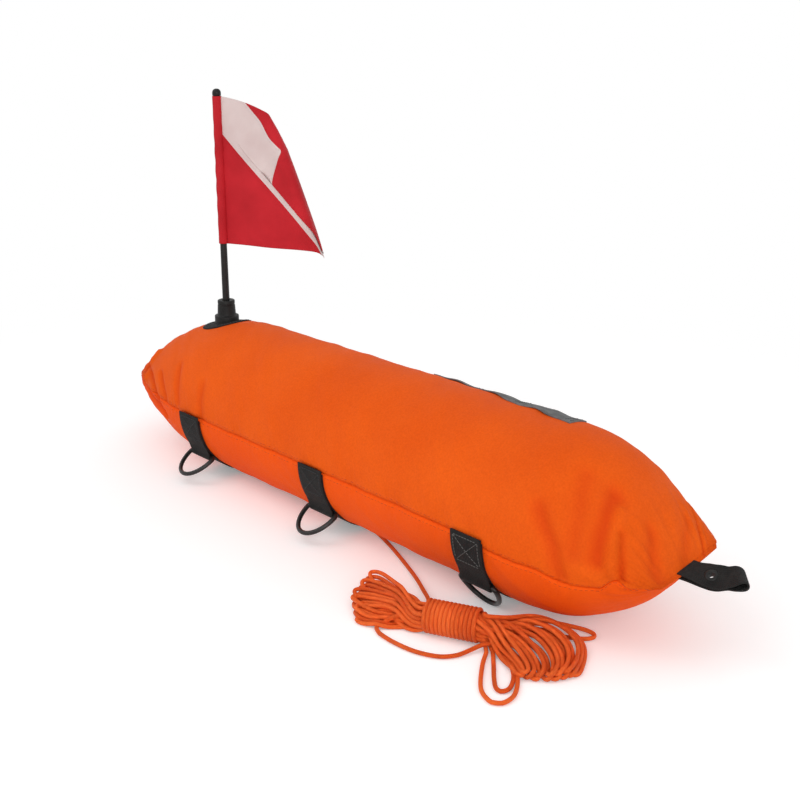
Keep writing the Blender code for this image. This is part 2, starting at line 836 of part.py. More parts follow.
def build_zip():
    """Tapes, coil, stops, slider and pull of the zip, built flat in the zip's frame."""
    length = ZIP_NOSE_X - ZIP_TAIL_X
    base = SEAT_GAP
    inner = ZIP_COIL_WIDTH / 2 + SEAT_GAP
    for name, side in (("zip_tape_upper", -1), ("zip_tape_lower", 1)):
        centre = (0, side * (inner + ZIP_TAPE_WIDTH / 2), base + ZIP_TAPE / 2)
        add_box(name, (length, ZIP_TAPE_WIDTH, ZIP_TAPE), centre, black_tape, zip_frame)
    coil_length = length - 2 * ZIP_STOP_LENGTH - 2 * SEAT_GAP
    add_box("zip_coil", (coil_length, ZIP_COIL_WIDTH, ZIP_COIL_HEIGHT),
            (0, 0, base + ZIP_COIL_HEIGHT / 2), black_plastic, zip_frame, ZIP_COIL_HEIGHT / 4)
    for name, side in (("zip_stop_tail", -1), ("zip_stop_nose", 1)):
        centre = (side * (length - ZIP_STOP_LENGTH) / 2, 0, base + ZIP_STOP_HEIGHT / 2)
        add_box(name, (ZIP_STOP_LENGTH, ZIP_COIL_WIDTH, ZIP_STOP_HEIGHT), centre, dark_metal,
                zip_frame, ZIP_STOP_HEIGHT / 8)

    coil_top = base + ZIP_COIL_HEIGHT
    foot = base + ZIP_TAPE + SEAT_GAP
    half_in = ZIP_COIL_WIDTH / 2 + SEAT_GAP
    half_out = half_in + SLIDER_WALL
    roof = coil_top + SEAT_GAP
    head = roof + SLIDER_WALL
    outline = [(-half_out, foot), (-half_in, foot), (-half_in, roof), (half_in, roof),
               (half_in, foot), (half_out, foot), (half_out, head - SLIDER_WALL / 2),
               (half_out - SLIDER_WALL / 2, head), (SLIDER_WALL / 2 - half_out, head),
               (-half_out, head - SLIDER_WALL / 2)]
    slider = add_plate("zip_slider", [outline], SLIDER_LENGTH, dark_metal, zip_frame)
    slider.rotation_euler = (math.pi / 2, 0, math.pi / 2)
    start = length / 2 - ZIP_STOP_LENGTH - SLIDER_LENGTH / 2 - SEAT_GAP
    slider.location = (start, 0, 0)
    slider = to_mesh_object(slider)
    pin_height = head + SLIDER_EAR_HEIGHT / 2
    ear_centre = (PULL_WIDTH / 2 + SEAT_GAP + SLIDER_EAR / 2)
    for side in (-1, 1):
        ear = add_cutter(f"slider_ear_{side}",
                         size=(SLIDER_EAR_HEIGHT, SLIDER_EAR, SLIDER_EAR_HEIGHT + SLIDER_WALL),
                         parent=zip_frame,
                         centre=(start, side * ear_centre,
                                 head + (SLIDER_EAR_HEIGHT - SLIDER_WALL) / 2))
        cut(slider, ear, "UNION")
    bore = add_cutter("pull_pin_bore", radius=PULL_PIN_RADIUS + SEAT_GAP,
                      depth=4 * half_out, parent=zip_frame)
    bore.rotation_euler = (math.pi / 2, 0, 0)
    bore.location = (start, 0, pin_height)
    cut(slider, bore)

    eye = PULL_PIN_RADIUS * 2
    pull_points = [(eye, -PULL_WIDTH / 2), (eye, PULL_WIDTH / 2),
                   (-PULL_LENGTH + PULL_WIDTH / 2, PULL_WIDTH / 2)]
    for i in range(7):
        angle = math.pi / 2 + math.pi * i / 6
        pull_points.append((-PULL_LENGTH + PULL_WIDTH / 2 * (1 + math.cos(angle)),
                            PULL_WIDTH / 2 * math.sin(angle)))
    pull_points.append((-PULL_LENGTH + PULL_WIDTH / 2, -PULL_WIDTH / 2))
    window = circle(PULL_WIDTH / 4, 12, (-PULL_LENGTH + PULL_WIDTH * 3 / 4, 0))
    pull = add_plate("zip_pull", [pull_points, window], PULL_THICKNESS, dark_metal, zip_frame)
    pull.location = (start, 0, pin_height)
    pull.rotation_euler = (0, -PULL_REST_ANGLE, 0)
    pull = to_mesh_object(pull)
    pin = add_cutter("pull_pin", radius=PULL_PIN_RADIUS,
                     depth=PULL_WIDTH + 2 * SEAT_GAP + 2 * SLIDER_EAR, parent=zip_frame)
    pin.rotation_euler = (math.pi / 2, 0, 0)
    pin.location = (start, 0, pin_height)
    cut(pull, pin, "UNION")


def build_tow_loop():
    """Webbing folded double at the nose seam, open as an eye at its end, with an eyelet."""
    lip = FABRIC + SEAT_GAP / 2 + SEAT_GAP
    root = NOSE_X - TOW_OVERLAP
    layer = lip + WEBBING
    half_gap = SEAT_GAP / 2
    meet = NOSE_X + SEAT_GAP
    eye_centre = NOSE_X + TOW_LENGTH - TOW_EYE_RADIUS - WEBBING
    eye_start = eye_centre - TOW_EYE_LENGTH
    steps = 8
    outer = [(root, layer), (meet, layer), (eye_start, WEBBING)]
    for i in range(steps + 1):
        angle = math.pi / 2 - math.pi * i / steps
        outer.append((eye_centre + (TOW_EYE_RADIUS + WEBBING) * math.cos(angle),
                      (TOW_EYE_RADIUS + WEBBING) * math.sin(angle)))
    outer += [(eye_start, -WEBBING), (meet, -layer), (root, -layer)]
    fork = [(root, -lip), (meet, -lip), (meet, lip), (root, lip)]
    eye = [(eye_start + TOW_EYE_RADIUS, 0)]
    for i in range(steps + 1):
        angle = -math.pi / 2 + math.pi * i / steps
        eye.append((eye_centre + TOW_EYE_RADIUS * math.cos(angle),
                    TOW_EYE_RADIUS * math.sin(angle)))
    strap = add_plate("tow_loop", [outer + fork, eye], TOW_WIDTH, black_webbing)
    strap.rotation_euler = (math.pi / 2, 0, 0)
    strap.location = (0, 0, SEAM_HEIGHT)
    strap = to_mesh_object(strap)
    place = (NOSE_X + EYELET_X, 0, SEAM_HEIGHT)
    hole = add_cutter("eyelet_hole", radius=EYELET_BORE + EYELET_BARREL + SEAT_GAP,
                      depth=2 * CUT_OVERRUN)
    hole.location = place
    cut(strap, hole)

    # The two faces under the eyelet lean together a little, so it seats on the higher edge
    slope = (layer - WEBBING) / (eye_start - meet)
    face = layer - slope * (EYELET_X - EYELET_RADIUS - SEAT_GAP) + SEAT_GAP
    lip_top = face + EYELET_LIP
    barrel = EYELET_BORE + EYELET_BARREL
    profile = [
        (EYELET_BORE, lip_top),
        (EYELET_RADIUS - EYELET_LIP / 2, lip_top),
        (EYELET_RADIUS, face + EYELET_LIP / 2),
        (EYELET_RADIUS, face),
        (barrel, face),
        (barrel, -face),
        (EYELET_RADIUS, -face),
        (EYELET_RADIUS, -face - EYELET_LIP / 2),
        (EYELET_RADIUS - EYELET_LIP / 2, -lip_top),
        (EYELET_BORE, -lip_top),
        (EYELET_BORE, lip_top),
    ]
    eyelet = add_turned("tow_eyelet", profile, 24, black_plastic)
    eyelet.location = place


def hank_place(along, across, height):
    """World place of a point given in the hank's own frame."""
    cosine, sine = math.cos(HANK_YAW), math.sin(HANK_YAW)
    return Vector((HANK_X + along * cosine - across * sine,
                   HANK_Y + along * sine + across * cosine, height))


def hank_loop_point(along, across, layer):
    """Spread and lift one point of the bundle: drawn in and raised at the waist."""
    fan = smooth_step((abs(along) - FAN_START) / (FAN_FULL - FAN_START))
    step = WAIST_STEP + (FAN_STEP - WAIST_STEP) * fan
    pile = LAYER_STEP + (FAN_LAYER_STEP - LAYER_STEP) * fan
    rest = LINE / 2 + SEAT_GAP + layer * pile
    sag = -HANK_SAG * max((along - FAN_START) / HANK_RIGHT, 0) ** 2
    return hank_place(along, across * step + sag, rest + WRAP_CLEAR * (1 - fan))


def hank_order():
    """Each loop's place from the middle and its layer: in, out, in and out again."""
    order = []
    for layer in range(HANK_LAYERS):
        places = range(LAYER_LOOPS, 0, -1) if layer % 2 == 0 else range(1, LAYER_LOOPS + 1)
        order += [(place, layer) for place in places]
    return order


def hank_end(along):
    """A point of the last strand, straight between the fan and the waist."""
    edge = 0.5 - LAYER_LOOPS
    top = HANK_LAYERS - 1
    fan_x = FAN_START + (HANK_RIGHT - FAN_START) / 3
    waist = hank_loop_point(FAN_START, edge, top)
    fan = hank_loop_point(fan_x, edge, top)
    return waist.lerp(fan, (along - FAN_START) / (fan_x - FAN_START))


def hank_points():
    """Centre line of the hank's loops, ending beside the wrap's nose end."""
    reach = HANK_RIGHT - FAN_START
    run = [-HANK_LEFT, -(HANK_LEFT + FAN_START) / 2, -FAN_START, 0, FAN_START,
           FAN_START + reach / 3, FAN_START + reach * 2 / 3]
    back = [HANK_RIGHT] + run[:0:-1]
    turn_points = LOOP_POINTS // 2 - len(run)
    order = hank_order()
    points = []
    for (place, layer), (after_place, after_layer) in zip(order, order[1:] + order[-1:]):
        across = place - 0.5
        points += [hank_loop_point(along, across, layer) for along in run]
        for i in range(turn_points):
            angle = math.pi / 2 - math.pi * i / turn_points
            along = HANK_RIGHT + across * FAN_STEP * math.cos(angle)
            points.append(hank_loop_point(along, across * math.sin(angle), layer))
        if len(points) > (len(order) - 1) * LOOP_POINTS:
            points += [hank_loop_point(along, -across, layer) for along in back[:3]]
            return points + [hank_end(HANK_END + LINE), hank_end(HANK_END)]
        points += [hank_loop_point(along, -across, layer) for along in back]
        for i in range(turn_points):
            share = i / turn_points
            angle = math.pi / 2 - math.pi * share
            blend = smooth_step(share)
            here = across + (after_place - place) * blend
            climb = layer + (after_layer - layer) * blend
            along = -HANK_LEFT - here * FAN_STEP * math.cos(angle)
            points.append(hank_loop_point(along, -here * math.sin(angle), climb))


def wrap_section(index):
    """One of the sixteen points round the waist, as across and height from its middle."""
    half_across = (LAYER_LOOPS - 0.5) * WAIST_STEP
    half_height = (HANK_LAYERS - 1) * LAYER_STEP / 2
    quarter, corner = divmod(index % WRAP_POINTS, WRAP_POINTS // 4)
    if corner == 0:
        side = (half_across + WRAP_CLEAR, half_height + WRAP_CLEAR)[quarter % 2]
        across, height = (side, 0)
    else:
        ends = (half_across, half_height) if quarter % 2 == 0 else (half_height, half_across)
        angle = math.radians((15, 45, 75)[corner - 1])
        across = ends[0] + WRAP_CLEAR * math.cos(angle)
        height = ends[1] + WRAP_CLEAR * math.sin(angle)
    for i in range(quarter):
        across, height = -height, across
    return across, height


def wrap_points():
    """Turns round the waist, from the hank's end at the nose side to the lead."""
    middle = LINE / 2 + SEAT_GAP + WRAP_CLEAR + (HANK_LAYERS - 1) * LAYER_STEP / 2
    points = [hank_end(HANK_END - SEAT_GAP), hank_end(HANK_END - LINE)]
    height = points[1].z
    side = (LAYER_LOOPS - 0.5) * WAIST_STEP
    start = WRAP_TURNS * WRAP_STEP / 2
    points.append(hank_place(start + LINE * 1.5, -side - LINE / 5, height + LINE * 0.7))
    points.append(hank_place(start + LINE * 0.9, -side + LINE / 2, height + WRAP_CLEAR))
    points.append(hank_place(start + LINE * 0.4, -LINE * 1.1, height + WRAP_CLEAR))
    for i in range(WRAP_TURNS * WRAP_POINTS + 1):
        across, rise = wrap_section(WRAP_POINTS // 4 - i)
        points.append(hank_place(start - i / WRAP_POINTS * WRAP_STEP, across, middle + rise))
    points.append(hank_place(-start, LINE / 2, height + WRAP_CLEAR))
    points.append(hank_place(-start, LINE * 1.5, height + WRAP_CLEAR))
    return points


def least_gap(points, radius, skip):
    """Smallest space between stretches of a tube that are not neighbours along it."""
    best = 1
    for i, here in enumerate(points):
        for other in points[i + skip:]:
            best = min(best, (here - other).length)
    return best - 2 * radius


def refine(points, parts_per_span):
    fine = []
    for here, there in zip(points, points[1:]):
        for i in range(parts_per_span):
            fine.append(here.lerp(there, i / parts_per_span))
    fine.append(points[-1])
    return fine


def smooth_route(knots, count):
    """Read evenly spaced points from a smooth curve through the route's own points."""
    fine = []
    for i in range(len(knots) - 1):
        p0 = knots[max(i - 1, 0)]
        p1, p2 = knots[i], knots[i + 1]
        p3 = knots[min(i + 2, len(knots) - 1)]
        for j in range(20):
            t = j / 20
            fine.append(0.5 * ((2 * p1) + (p2 - p0) * t + (2 * p0 - 5 * p1 + 4 * p2 - p3) * t ** 2
                               + (3 * p1 - p0 - 3 * p2 + p3) * t ** 3))
    fine.append(knots[-1])
    reach = [0]
    for here, there in zip(fine, fine[1:]):
        reach.append(reach[-1] + (there - here).length)
    points = []
    k = 0
    for i in range(count):
        target = reach[-1] * i / (count - 1)
        while k < len(reach) - 2 and reach[k + 1] < target:
            k += 1
        span = reach[k + 1] - reach[k]
        points.append(fine[k].lerp(fine[k + 1], (target - reach[k]) / span))
    return points, reach[-1]


# Route of the lead between the middle strap and the wrap, chosen by hand
LEAD_ROUTE = [
    (0.0196, -0.0280, 0.0030),
    (0.0300, -0.0290, 0.0026),
    (0.0500, -0.0345, 0.0026),
    (0.0800, -0.0455, 0.0026),
    (0.1150, -0.0605, 0.0030),
    (0.1450, -0.0755, 0.0050),
    (0.1700, -0.0900, 0.0110),
    (0.1880, -0.1015, 0.0180),
    (0.2040, -0.1130, 0.0245),
    (0.2115, -0.1225, 0.0260),
    (0.2152, -0.1292, 0.0260),
]


def build_line():
    hank = hank_points()
    gap = least_gap(refine(hank, 3), LINE / 2, 12)
    print(f"hank: {len(hank)} points, least gap to itself {gap * 1000:.2f} mm")
    add_tube("line_hank", hank, LINE / 2, orange_line, resolution=1)

    wrap = wrap_points()
    gap = least_gap(refine(wrap, 2), LINE / 2, 12)
    print(f"wrap: {len(wrap)} points, least gap to itself {gap * 1000:.2f} mm")
    apart = min((a - b).length for a in refine(wrap[3:], 2) for b in refine(hank[:-2], 4)) - LINE
    print(f"wrap to hank: least gap {apart * 1000:.2f} mm")
    add_tube("line_wrap", wrap, LINE / 2, orange_line, resolution=1)

    lead, length = smooth_route([Vector(knot) for knot in LEAD_ROUTE], LEAD_POINTS)
    print(f"lead: {length:.3f} m")
    add_tube("line_lead", lead, LINE / 2, orange_line, resolution=2)


clear_scene()
parts = make_collection(COLLECTION)
cutters = make_collection(COLLECTION + "_cutters")

orange_nylon = material("orange nylon", ORANGE, 0.62)
deep_orange_nylon = material("belly nylon", DEEP_ORANGE, 0.65)
clear_vinyl = material("clear vinyl", PALE, 0.25)
black_webbing = material("black webbing", BLACK, 0.8)
grey_webbing = material("grey black webbing", GREY_BLACK, 0.75)
black_coated_wire = material("coated wire", BLACK, 0.4)
black_patch = material("black patch", BLACK, 0.7)
black_rubber = material("black rubber", BLACK, 0.45)
black_plastic = material("black plastic", BLACK, 0.35)
black_tape = material("zip tape", BLACK, 0.8)
dark_metal = material("dark metal", STEEL, 0.4, 1)
red_cloth = material("red flag cloth", FLAG_RED, 0.7)
white_cloth = material("white flag cloth", FLAG_WHITE, 0.7)
orange_line = material("orange line", LINE_ORANGE, 0.6)

zip_frame = add_empty("zip_frame", cover_point((ZIP_NOSE_X + ZIP_TAIL_X) / 2, ZIP_ANGLE)[0],
                      cover_frame(ZIP_ANGLE))
valve_frame = add_empty("valve_frame", *valve_place())

build_cover()
build_bladder()
build_valve()
build_straps()
build_rings()
build_mast()
build_flag()
build_gear_strap()
build_zip()
build_tow_loop()
build_line()
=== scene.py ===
# %% [markdown]
# # An inflatable dive flag float
# The imported model gives the fixed frame: where each piece sits and what moves.  Everything
# made here is the finish that goes round it.

# %% Load the frame
import math
import random

import bmesh
import bpy
import numpy as np
from mathutils import Matrix, Vector


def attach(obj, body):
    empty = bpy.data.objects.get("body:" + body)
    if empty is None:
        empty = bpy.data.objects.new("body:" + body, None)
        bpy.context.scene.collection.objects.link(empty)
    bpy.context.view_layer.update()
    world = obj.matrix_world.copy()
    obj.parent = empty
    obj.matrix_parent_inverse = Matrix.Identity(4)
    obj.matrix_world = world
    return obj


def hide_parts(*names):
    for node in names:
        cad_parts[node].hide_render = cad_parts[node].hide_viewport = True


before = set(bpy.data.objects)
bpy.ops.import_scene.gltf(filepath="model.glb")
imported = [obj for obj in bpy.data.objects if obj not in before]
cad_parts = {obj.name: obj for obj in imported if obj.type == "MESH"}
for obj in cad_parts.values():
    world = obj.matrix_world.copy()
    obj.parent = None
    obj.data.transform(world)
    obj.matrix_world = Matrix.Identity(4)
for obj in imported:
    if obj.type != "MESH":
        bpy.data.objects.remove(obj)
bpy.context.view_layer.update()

# %% [markdown]
# The photograph was taken from the nose end, a little above the float.  The camera's place
# was found by fitting the body's outline, its level seam and the staff, so it is given
# here as plain numbers.  The picture is square.

# %% Camera
scene = bpy.context.scene
scene.view_settings.view_transform = "Standard"
camera_data = bpy.data.cameras.new("camera")
camera_data.lens = 54.0
camera_data.sensor_width = 36.0
camera = bpy.data.objects.new("camera", camera_data)
camera.location = (0.91219, -0.80202, 0.53686)
looks_at = Vector((0.040, 0, 0.145))
camera.rotation_euler = (looks_at - camera.location).to_track_quat("-Z", "Y").to_euler()
scene.collection.objects.link(camera)
scene.camera = camera
print("camera", round((looks_at - camera.location).length, 3), "m away")

# %% [markdown]
# A studio floor that fades to white: round the float it is a pale matt floor that keeps the
# soft shadow, and further out it turns into plain white for the camera only, so that it
# lights nothing and no horizon shows.  The world is white in the same way, and shines on
# the object at a plain level from all sides, as the flat light of the photograph does.
# First come the helpers that make objects and shader nodes, which every later step uses.

# %% Objects and shader nodes


def object_from(mesh, name, skin, smooth=True):
    """Turn a bmesh into an object that shows one material."""
    data = bpy.data.meshes.new(name)
    mesh.to_mesh(data)
    mesh.free()
    if smooth:
        data.shade_smooth()
    data.materials.append(skin)
    piece = bpy.data.objects.new(name, data)
    scene.collection.objects.link(piece)
    return piece


def join(skin, source, target):
    skin.node_tree.links.new(source, target)


def node(skin, kind, inputs=(), **settings):
    """A node whose inputs, by name or number, take sockets or plain values."""
    made = skin.node_tree.nodes.new(kind)
    for key, value in settings.items():
        setattr(made, key, value)
    for key, value in dict(inputs).items():
        if isinstance(value, bpy.types.NodeSocket):
            join(skin, value, made.inputs[key])
        else:
            made.inputs[key].default_value = value
    return made


def calculate(skin, operation, *values):
    """The result of a Math node on sockets or plain numbers."""
    return node(skin, "ShaderNodeMath", enumerate(values), operation=operation).outputs[0]


# %% Studio floor and world
FLOOR_SIZE = 12.0
FLOOR_WHITE = 0.92
FLOOR_LIFT = 0.20
FADE_FROM, FADE_TO = 0.50, 1.05
WORLD_LIGHT = 0.76


def background_rays(skin):
    """One for what the camera, a mirror or clear glass looks at, zero for light on things."""
    path = node(skin, "ShaderNodeLightPath").outputs
    first = calculate(skin, "MAXIMUM", path["Is Camera Ray"], path["Is Glossy Ray"])
    return calculate(skin, "MAXIMUM", first, path["Is Transmission Ray"])


def studio_floor():
    skin = bpy.data.materials.new("studio floor")
    skin.use_nodes = True
    skin.node_tree.nodes.clear()
    seen = background_rays(skin)
    matt = node(skin, "ShaderNodeBsdfDiffuse", {"Color": (*[FLOOR_WHITE] * 3, 1)})
    lift = calculate(skin, "MULTIPLY", seen, FLOOR_LIFT)
    glow = node(skin, "ShaderNodeEmission", {"Strength": lift})
    near = node(skin, "ShaderNodeAddShader", {0: matt.outputs[0], 1: glow.outputs[0]})
    place = node(skin, "ShaderNodeTexCoord").outputs["Object"]
    away = node(skin, "ShaderNodeVectorMath", {0: place}, operation="LENGTH").outputs["Value"]
    fade = node(skin, "ShaderNodeMapRange",
                {"Value": away, "From Min": FADE_FROM, "From Max": FADE_TO},
                interpolation_type="SMOOTHSTEP").outputs["Result"]
    far = node(skin, "ShaderNodeEmission")
    blend = node(skin, "ShaderNodeMixShader", {
        "Fac": calculate(skin, "MULTIPLY", fade, seen), 1: near.outputs[0], 2: far.outputs[0]})
    node(skin, "ShaderNodeOutputMaterial", {"Surface": blend.outputs[0]})
    sheet = bmesh.new()
    bmesh.ops.create_grid(sheet, x_segments=1, y_segments=1, size=FLOOR_SIZE / 2)
    object_from(sheet, "studio_floor", skin, smooth=False)


def studio_world():
    world = bpy.data.worlds.new("studio")
    scene.world = world
    world.use_nodes = True
    back = world.node_tree.nodes["Background"]
    back.inputs["Color"].default_value = (1, 1, 1, 1)
    light = node(world, "ShaderNodeMapRange", {
        "Value": background_rays(world), "To Min": WORLD_LIGHT, "To Max": 1.0})
    join(world, light.outputs["Result"], back.inputs["Strength"])


studio_floor()
studio_world()
print("floor", FLOOR_SIZE, "m wide, world at", WORLD_LIGHT)

# %% [markdown]
# Two wide lamps stand in for studio soft boxes: the main one high at the near side, and
# one low towards the nose, which also reaches the belly.  Wide lamps give soft shadow edges.

# %% Lamps


def soft_box(name, place, target, size, power):
    lamp_data = bpy.data.lights.new(name, "AREA")
    lamp_data.shape = "SQUARE"
    lamp_data.size = size
    lamp_data.energy = power
    lamp = bpy.data.objects.new(name, lamp_data)
    lamp.location = place
    lamp.rotation_euler = (Vector(target) - lamp.location).to_track_quat("-Z", "Y").to_euler()
    scene.collection.objects.link(lamp)


soft_box("main_lamp", (-0.7, -1.6, 2.2), (0, 0, 0.1), 1.6, 13)
soft_box("nose_lamp", (2.0, -1.3, 0.9), (0.1, 0, 0.1), 1.4, 18.5)
print("two lamps")

# %% [markdown]
# Every piece goes through the same last step: it rides on a body of the imported model and
# stands for the plain solids whose place it fills.

# %% Handing a piece over


def dress(piece, body, finish, *nodes):
    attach(piece, body)
    if nodes:
        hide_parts(*nodes)


# %% [markdown]
# Materials are built from a few small habits.  Cloth is never one colour, so a soft noise
# moves its colour between two close shades.  A weave is two crossing waves that raise the
# surface, set by the piece's own UV map in metres, so it follows the cloth.

# %% Material helpers
METAL_SPECULAR, PLAIN_SPECULAR, NYLON_SPECULAR = 0.5, 0.22, 0.10


def shader_of(skin):
    return skin.node_tree.nodes["Principled BSDF"]


def new_material(name, roughness, metallic=0.0):
    skin = bpy.data.materials.new(name)
    skin.use_nodes = True
    inputs = shader_of(skin).inputs
    inputs["Roughness"].default_value = roughness
    inputs["Metallic"].default_value = metallic
    inputs["Specular IOR Level"].default_value = METAL_SPECULAR if metallic else PLAIN_SPECULAR
    return skin


def noise_value(skin, scale, detail):
    place = node(skin, "ShaderNodeTexCoord").outputs["Object"]
    return node(skin, "ShaderNodeTexNoise", {
        "Vector": place, "Scale": scale, "Detail": detail}).outputs["Fac"]


def shade_between(skin, value, low, high, start=0.3, end=0.7):
    """Colour the surface from low to high as the value goes from start to end."""
    ramp = node(skin, "ShaderNodeValToRGB", {"Fac": value})
    first, last = ramp.color_ramp.elements
    first.position, last.position = start, end
    first.color, last.color = (*low, 1), (*high, 1)
    join(skin, ramp.outputs["Color"], shader_of(skin).inputs["Base Color"])


def raise_surface(skin, height, depth, strength):
    """Add a bump on top of any that the material has."""
    normal = shader_of(skin).inputs["Normal"]
    bump = node(skin, "ShaderNodeBump", {
        "Distance": depth, "Strength": strength, "Height": height})
    if normal.links:
        join(skin, normal.links[0].from_socket, bump.inputs["Normal"])
    join(skin, bump.outputs["Normal"], normal)


def roughen(skin, *bumps):
    """Add bumps of noise, each given as (scale, detail, depth, strength)."""
    for scale, detail, depth, strength in bumps:
        raise_surface(skin, noise_value(skin, scale, detail), depth, strength)


def clouded_material(name, roughness, cloud, low, high, *bumps, metallic=0.0):
    """A material in two close shades that change in clouds of (scale, detail)."""
    skin = new_material(name, roughness, metallic)
    shade_between(skin, noise_value(skin, *cloud), low, high)
    roughen(skin, *bumps)
    return skin


def uv_parts(skin):
    place = node(skin, "ShaderNodeTexCoord").outputs["UV"]
    return node(skin, "ShaderNodeSeparateXYZ", {0: place}).outputs[:2]


def wave_value(skin, value, pitch):
    """A wave with one crest to a pitch."""
    return calculate(skin, "SINE", calculate(skin, "MULTIPLY", value, 2 * math.pi / pitch))


def weave_value(skin, pitch):
    """Threads over and under each other, for a UV map in metres."""
    u, v = uv_parts(skin)
    return calculate(skin, "MULTIPLY", wave_value(skin, u, pitch), wave_value(skin, v, pitch))


# %% [markdown]
# The line is one unbroken rope: it leaves the middle strap, reaches the hank, is wound round
# its waist and then makes the loops, whose far end is cut off bare.  The route is first laid
# loop by loop, and then settled like a real rope: its pieces push one another
# apart, keep their length, and come down on the floor and round the hull.

# %% Shape of the hull, for what lies against it
SEAM_HEIGHT = 0.081
HALF_WIDTH = 0.0875
CROWN_RISE = 0.0945
BELLY_DROP = 0.0805
NOSE_X = 0.402
TAIL_X = -0.425
BODY_LENGTH = NOSE_X - TAIL_X
NOSE_TAPER = 0.135
TAIL_TAPER = 0.205
NOSE_HALF_WIDTH = 0.046
TAIL_HALF_WIDTH = 0.034
SEAM_LIP = 0.005
SWELL_SHARE = 0.8
LIP_CORNER_SHARE = 0.85


def girth(x):
    """Half width, crown rise and belly drop of the cover at the places x."""
    x = np.asarray(x, float)
    nose_share = (NOSE_X - SEAM_LIP - x) / NOSE_TAPER
    tail_share = (x - TAIL_X - SEAM_LIP) / TAIL_TAPER
    at_nose = nose_share < tail_share
    share = np.where(at_nose, nose_share, tail_share)
    end = np.where(at_nose, NOSE_HALF_WIDTH, TAIL_HALF_WIDTH)
    taper = np.where(at_nose, NOSE_TAPER, TAIL_TAPER)
    full = (1 - (1 - np.clip(share, 0, 1)) ** 2) ** SWELL_SHARE
    lip = np.clip(-share * taper / SEAM_LIP, 0, 1)
    end = end * (1 - (1 - LIP_CORNER_SHARE) * lip)
    return end + (HALF_WIDTH - end) * full, CROWN_RISE * full, BELLY_DROP * full


# %% Route of the line, laid loop by loop


def tenths(*points):
    """Points given in tenths of a millimetre, in metres."""
    return [tuple(part / 10000 for part in point) for point in points]


LINE = 0.004
STEP = 0.003
HANK_CENTRE = (0.243, -0.123)
HANK_YAW = math.radians(25)
WAIST_END = 0.0262
WRAP_TURNS = 13
TURN_KNOTS = 16
WRAP_PLAY = 0.0003
WRAP_SLACK = 0.02
WAIST_LEAVE = 0.034
FLOOR_HEIGHT = 0.0022
WAIST_MIDDLE = 0.0157
LEAD_ROUTE = [
    (0.0196, -0.0280, 0.0030), (0.0300, -0.0290, 0.0026), (0.0500, -0.0345, 0.0026),
    (0.0800, -0.0455, 0.0026), (0.1150, -0.0605, 0.0030), (0.1450, -0.0755, 0.0050),
    (0.1700, -0.0900, 0.0070), (0.1880, -0.1010, 0.0090), (0.2030, -0.1125, 0.0112),
]
# Every table of knots is in tenths of a millimetre, in the hank's own frame.  The loops lie
# side by side in a fan on either side, so each is a blend of the three that are given here,
# as knots (along, across, height)
RIGHT_FAN = (
    tenths((523, -170, 180), (720, -338, 120), (845, -490, 60), (740, -530, 30), (685, -375, 40),
           (480, -190, 60)),
    tenths((672, 98, 200), (962, -104, 130), (1080, -415, 60), (975, -475, 30), (885, -190, 80),
           (600, 10, 120)),
    tenths((726, 390, 170), (1140, 225, 100), (1200, -270, 50), (1105, -345, 30), (1050, 120, 70),
           (660, 290, 120)),
)
LEFT_FAN = (
    tenths((-530, 20, 80), (-797, 10, 60), (-940, 10, 50), (-915, -108, 30), (-771, -165, 30),
           (-484, -7, 40)),
    tenths((-563, 120, 180), (-979, 232, 140), (-1110, 260, 110), (-1085, 140, 90),
           (-962, 108, 80), (-562, 50, 80)),
    tenths((-606, 262, 220), (-920, 579, 180), (-1040, 670, 160), (-1115, 575, 140),
           (-937, 453, 120), (-602, 220, 120)),
)
RIGHT_LOOPS, LEFT_LOOPS = 16, 15
RIGHT_LIFT, LEFT_LIFT = 0.0012, 0.0016
FAN_CROWDING = 1.2
LOOP_EDGE = WAIST_END + 0.006
LOOP_FLARE = 1.1
# One loop of the right fan sticks out beyond the others
LONG_LOOP = 10
LONG_LOOP_KNOTS = tenths((560, 330, 160), (900, 440, 100), (1190, 500, 60), (1247, 400, 50),
                         (1147, 330, 50), (700, 260, 80))
# Two long loops that lie out on the floor in front, each as (along, across) knots
FRONT_LOOPS = {
    3: tenths((380, -180), (425, -430), (525, -760), (640, -905), (710, -920), (775, -880),
              (810, -740), (765, -520), (660, -330), (500, -170)),
    6: tenths((420, -140), (500, -350), (580, -580), (640, -710), (700, -740), (745, -660),
              (715, -470), (610, -270), (480, -120)),
}
# The slack last strand: out of the hank's left side and back in front of its waist
SLACK_END = tenths((-380, 20, 180), (-560, -10, 90), (-690, -70, 40), (-715, -150, 22),
                   (-612, -240, 22), (-430, -340, 22), (-199, -416, 22), (20, -420, 22),
                   (160, -345, 24), (250, -235, 36), (330, -150, 60), (430, -110, 80))
WAIST_ROWS = (4, 6, 6, 6, 6, 4)
ROW_RISE = 0.0037
STRAND_GAP = 0.0041


def hank_place(along, across, height):
    """World place of a point given in the hank's own frame."""
    cosine, sine = math.cos(HANK_YAW), math.sin(HANK_YAW)
    return Vector((HANK_CENTRE[0] + along * cosine - across * sine,
                   HANK_CENTRE[1] + along * sine + across * cosine, height))


def waist_slots():
    """Places of the strands that run through the waist, packed from the bottom up."""
    slots = []
    for row, count in enumerate(WAIST_ROWS):
        height = WAIST_MIDDLE + (row - (len(WAIST_ROWS) - 1) / 2) * ROW_RISE
        order = sorted(range(count), key=lambda i: (i % 2, i))
        slots += [((i - (count - 1) / 2) * STRAND_GAP, height) for i in order]
    return slots


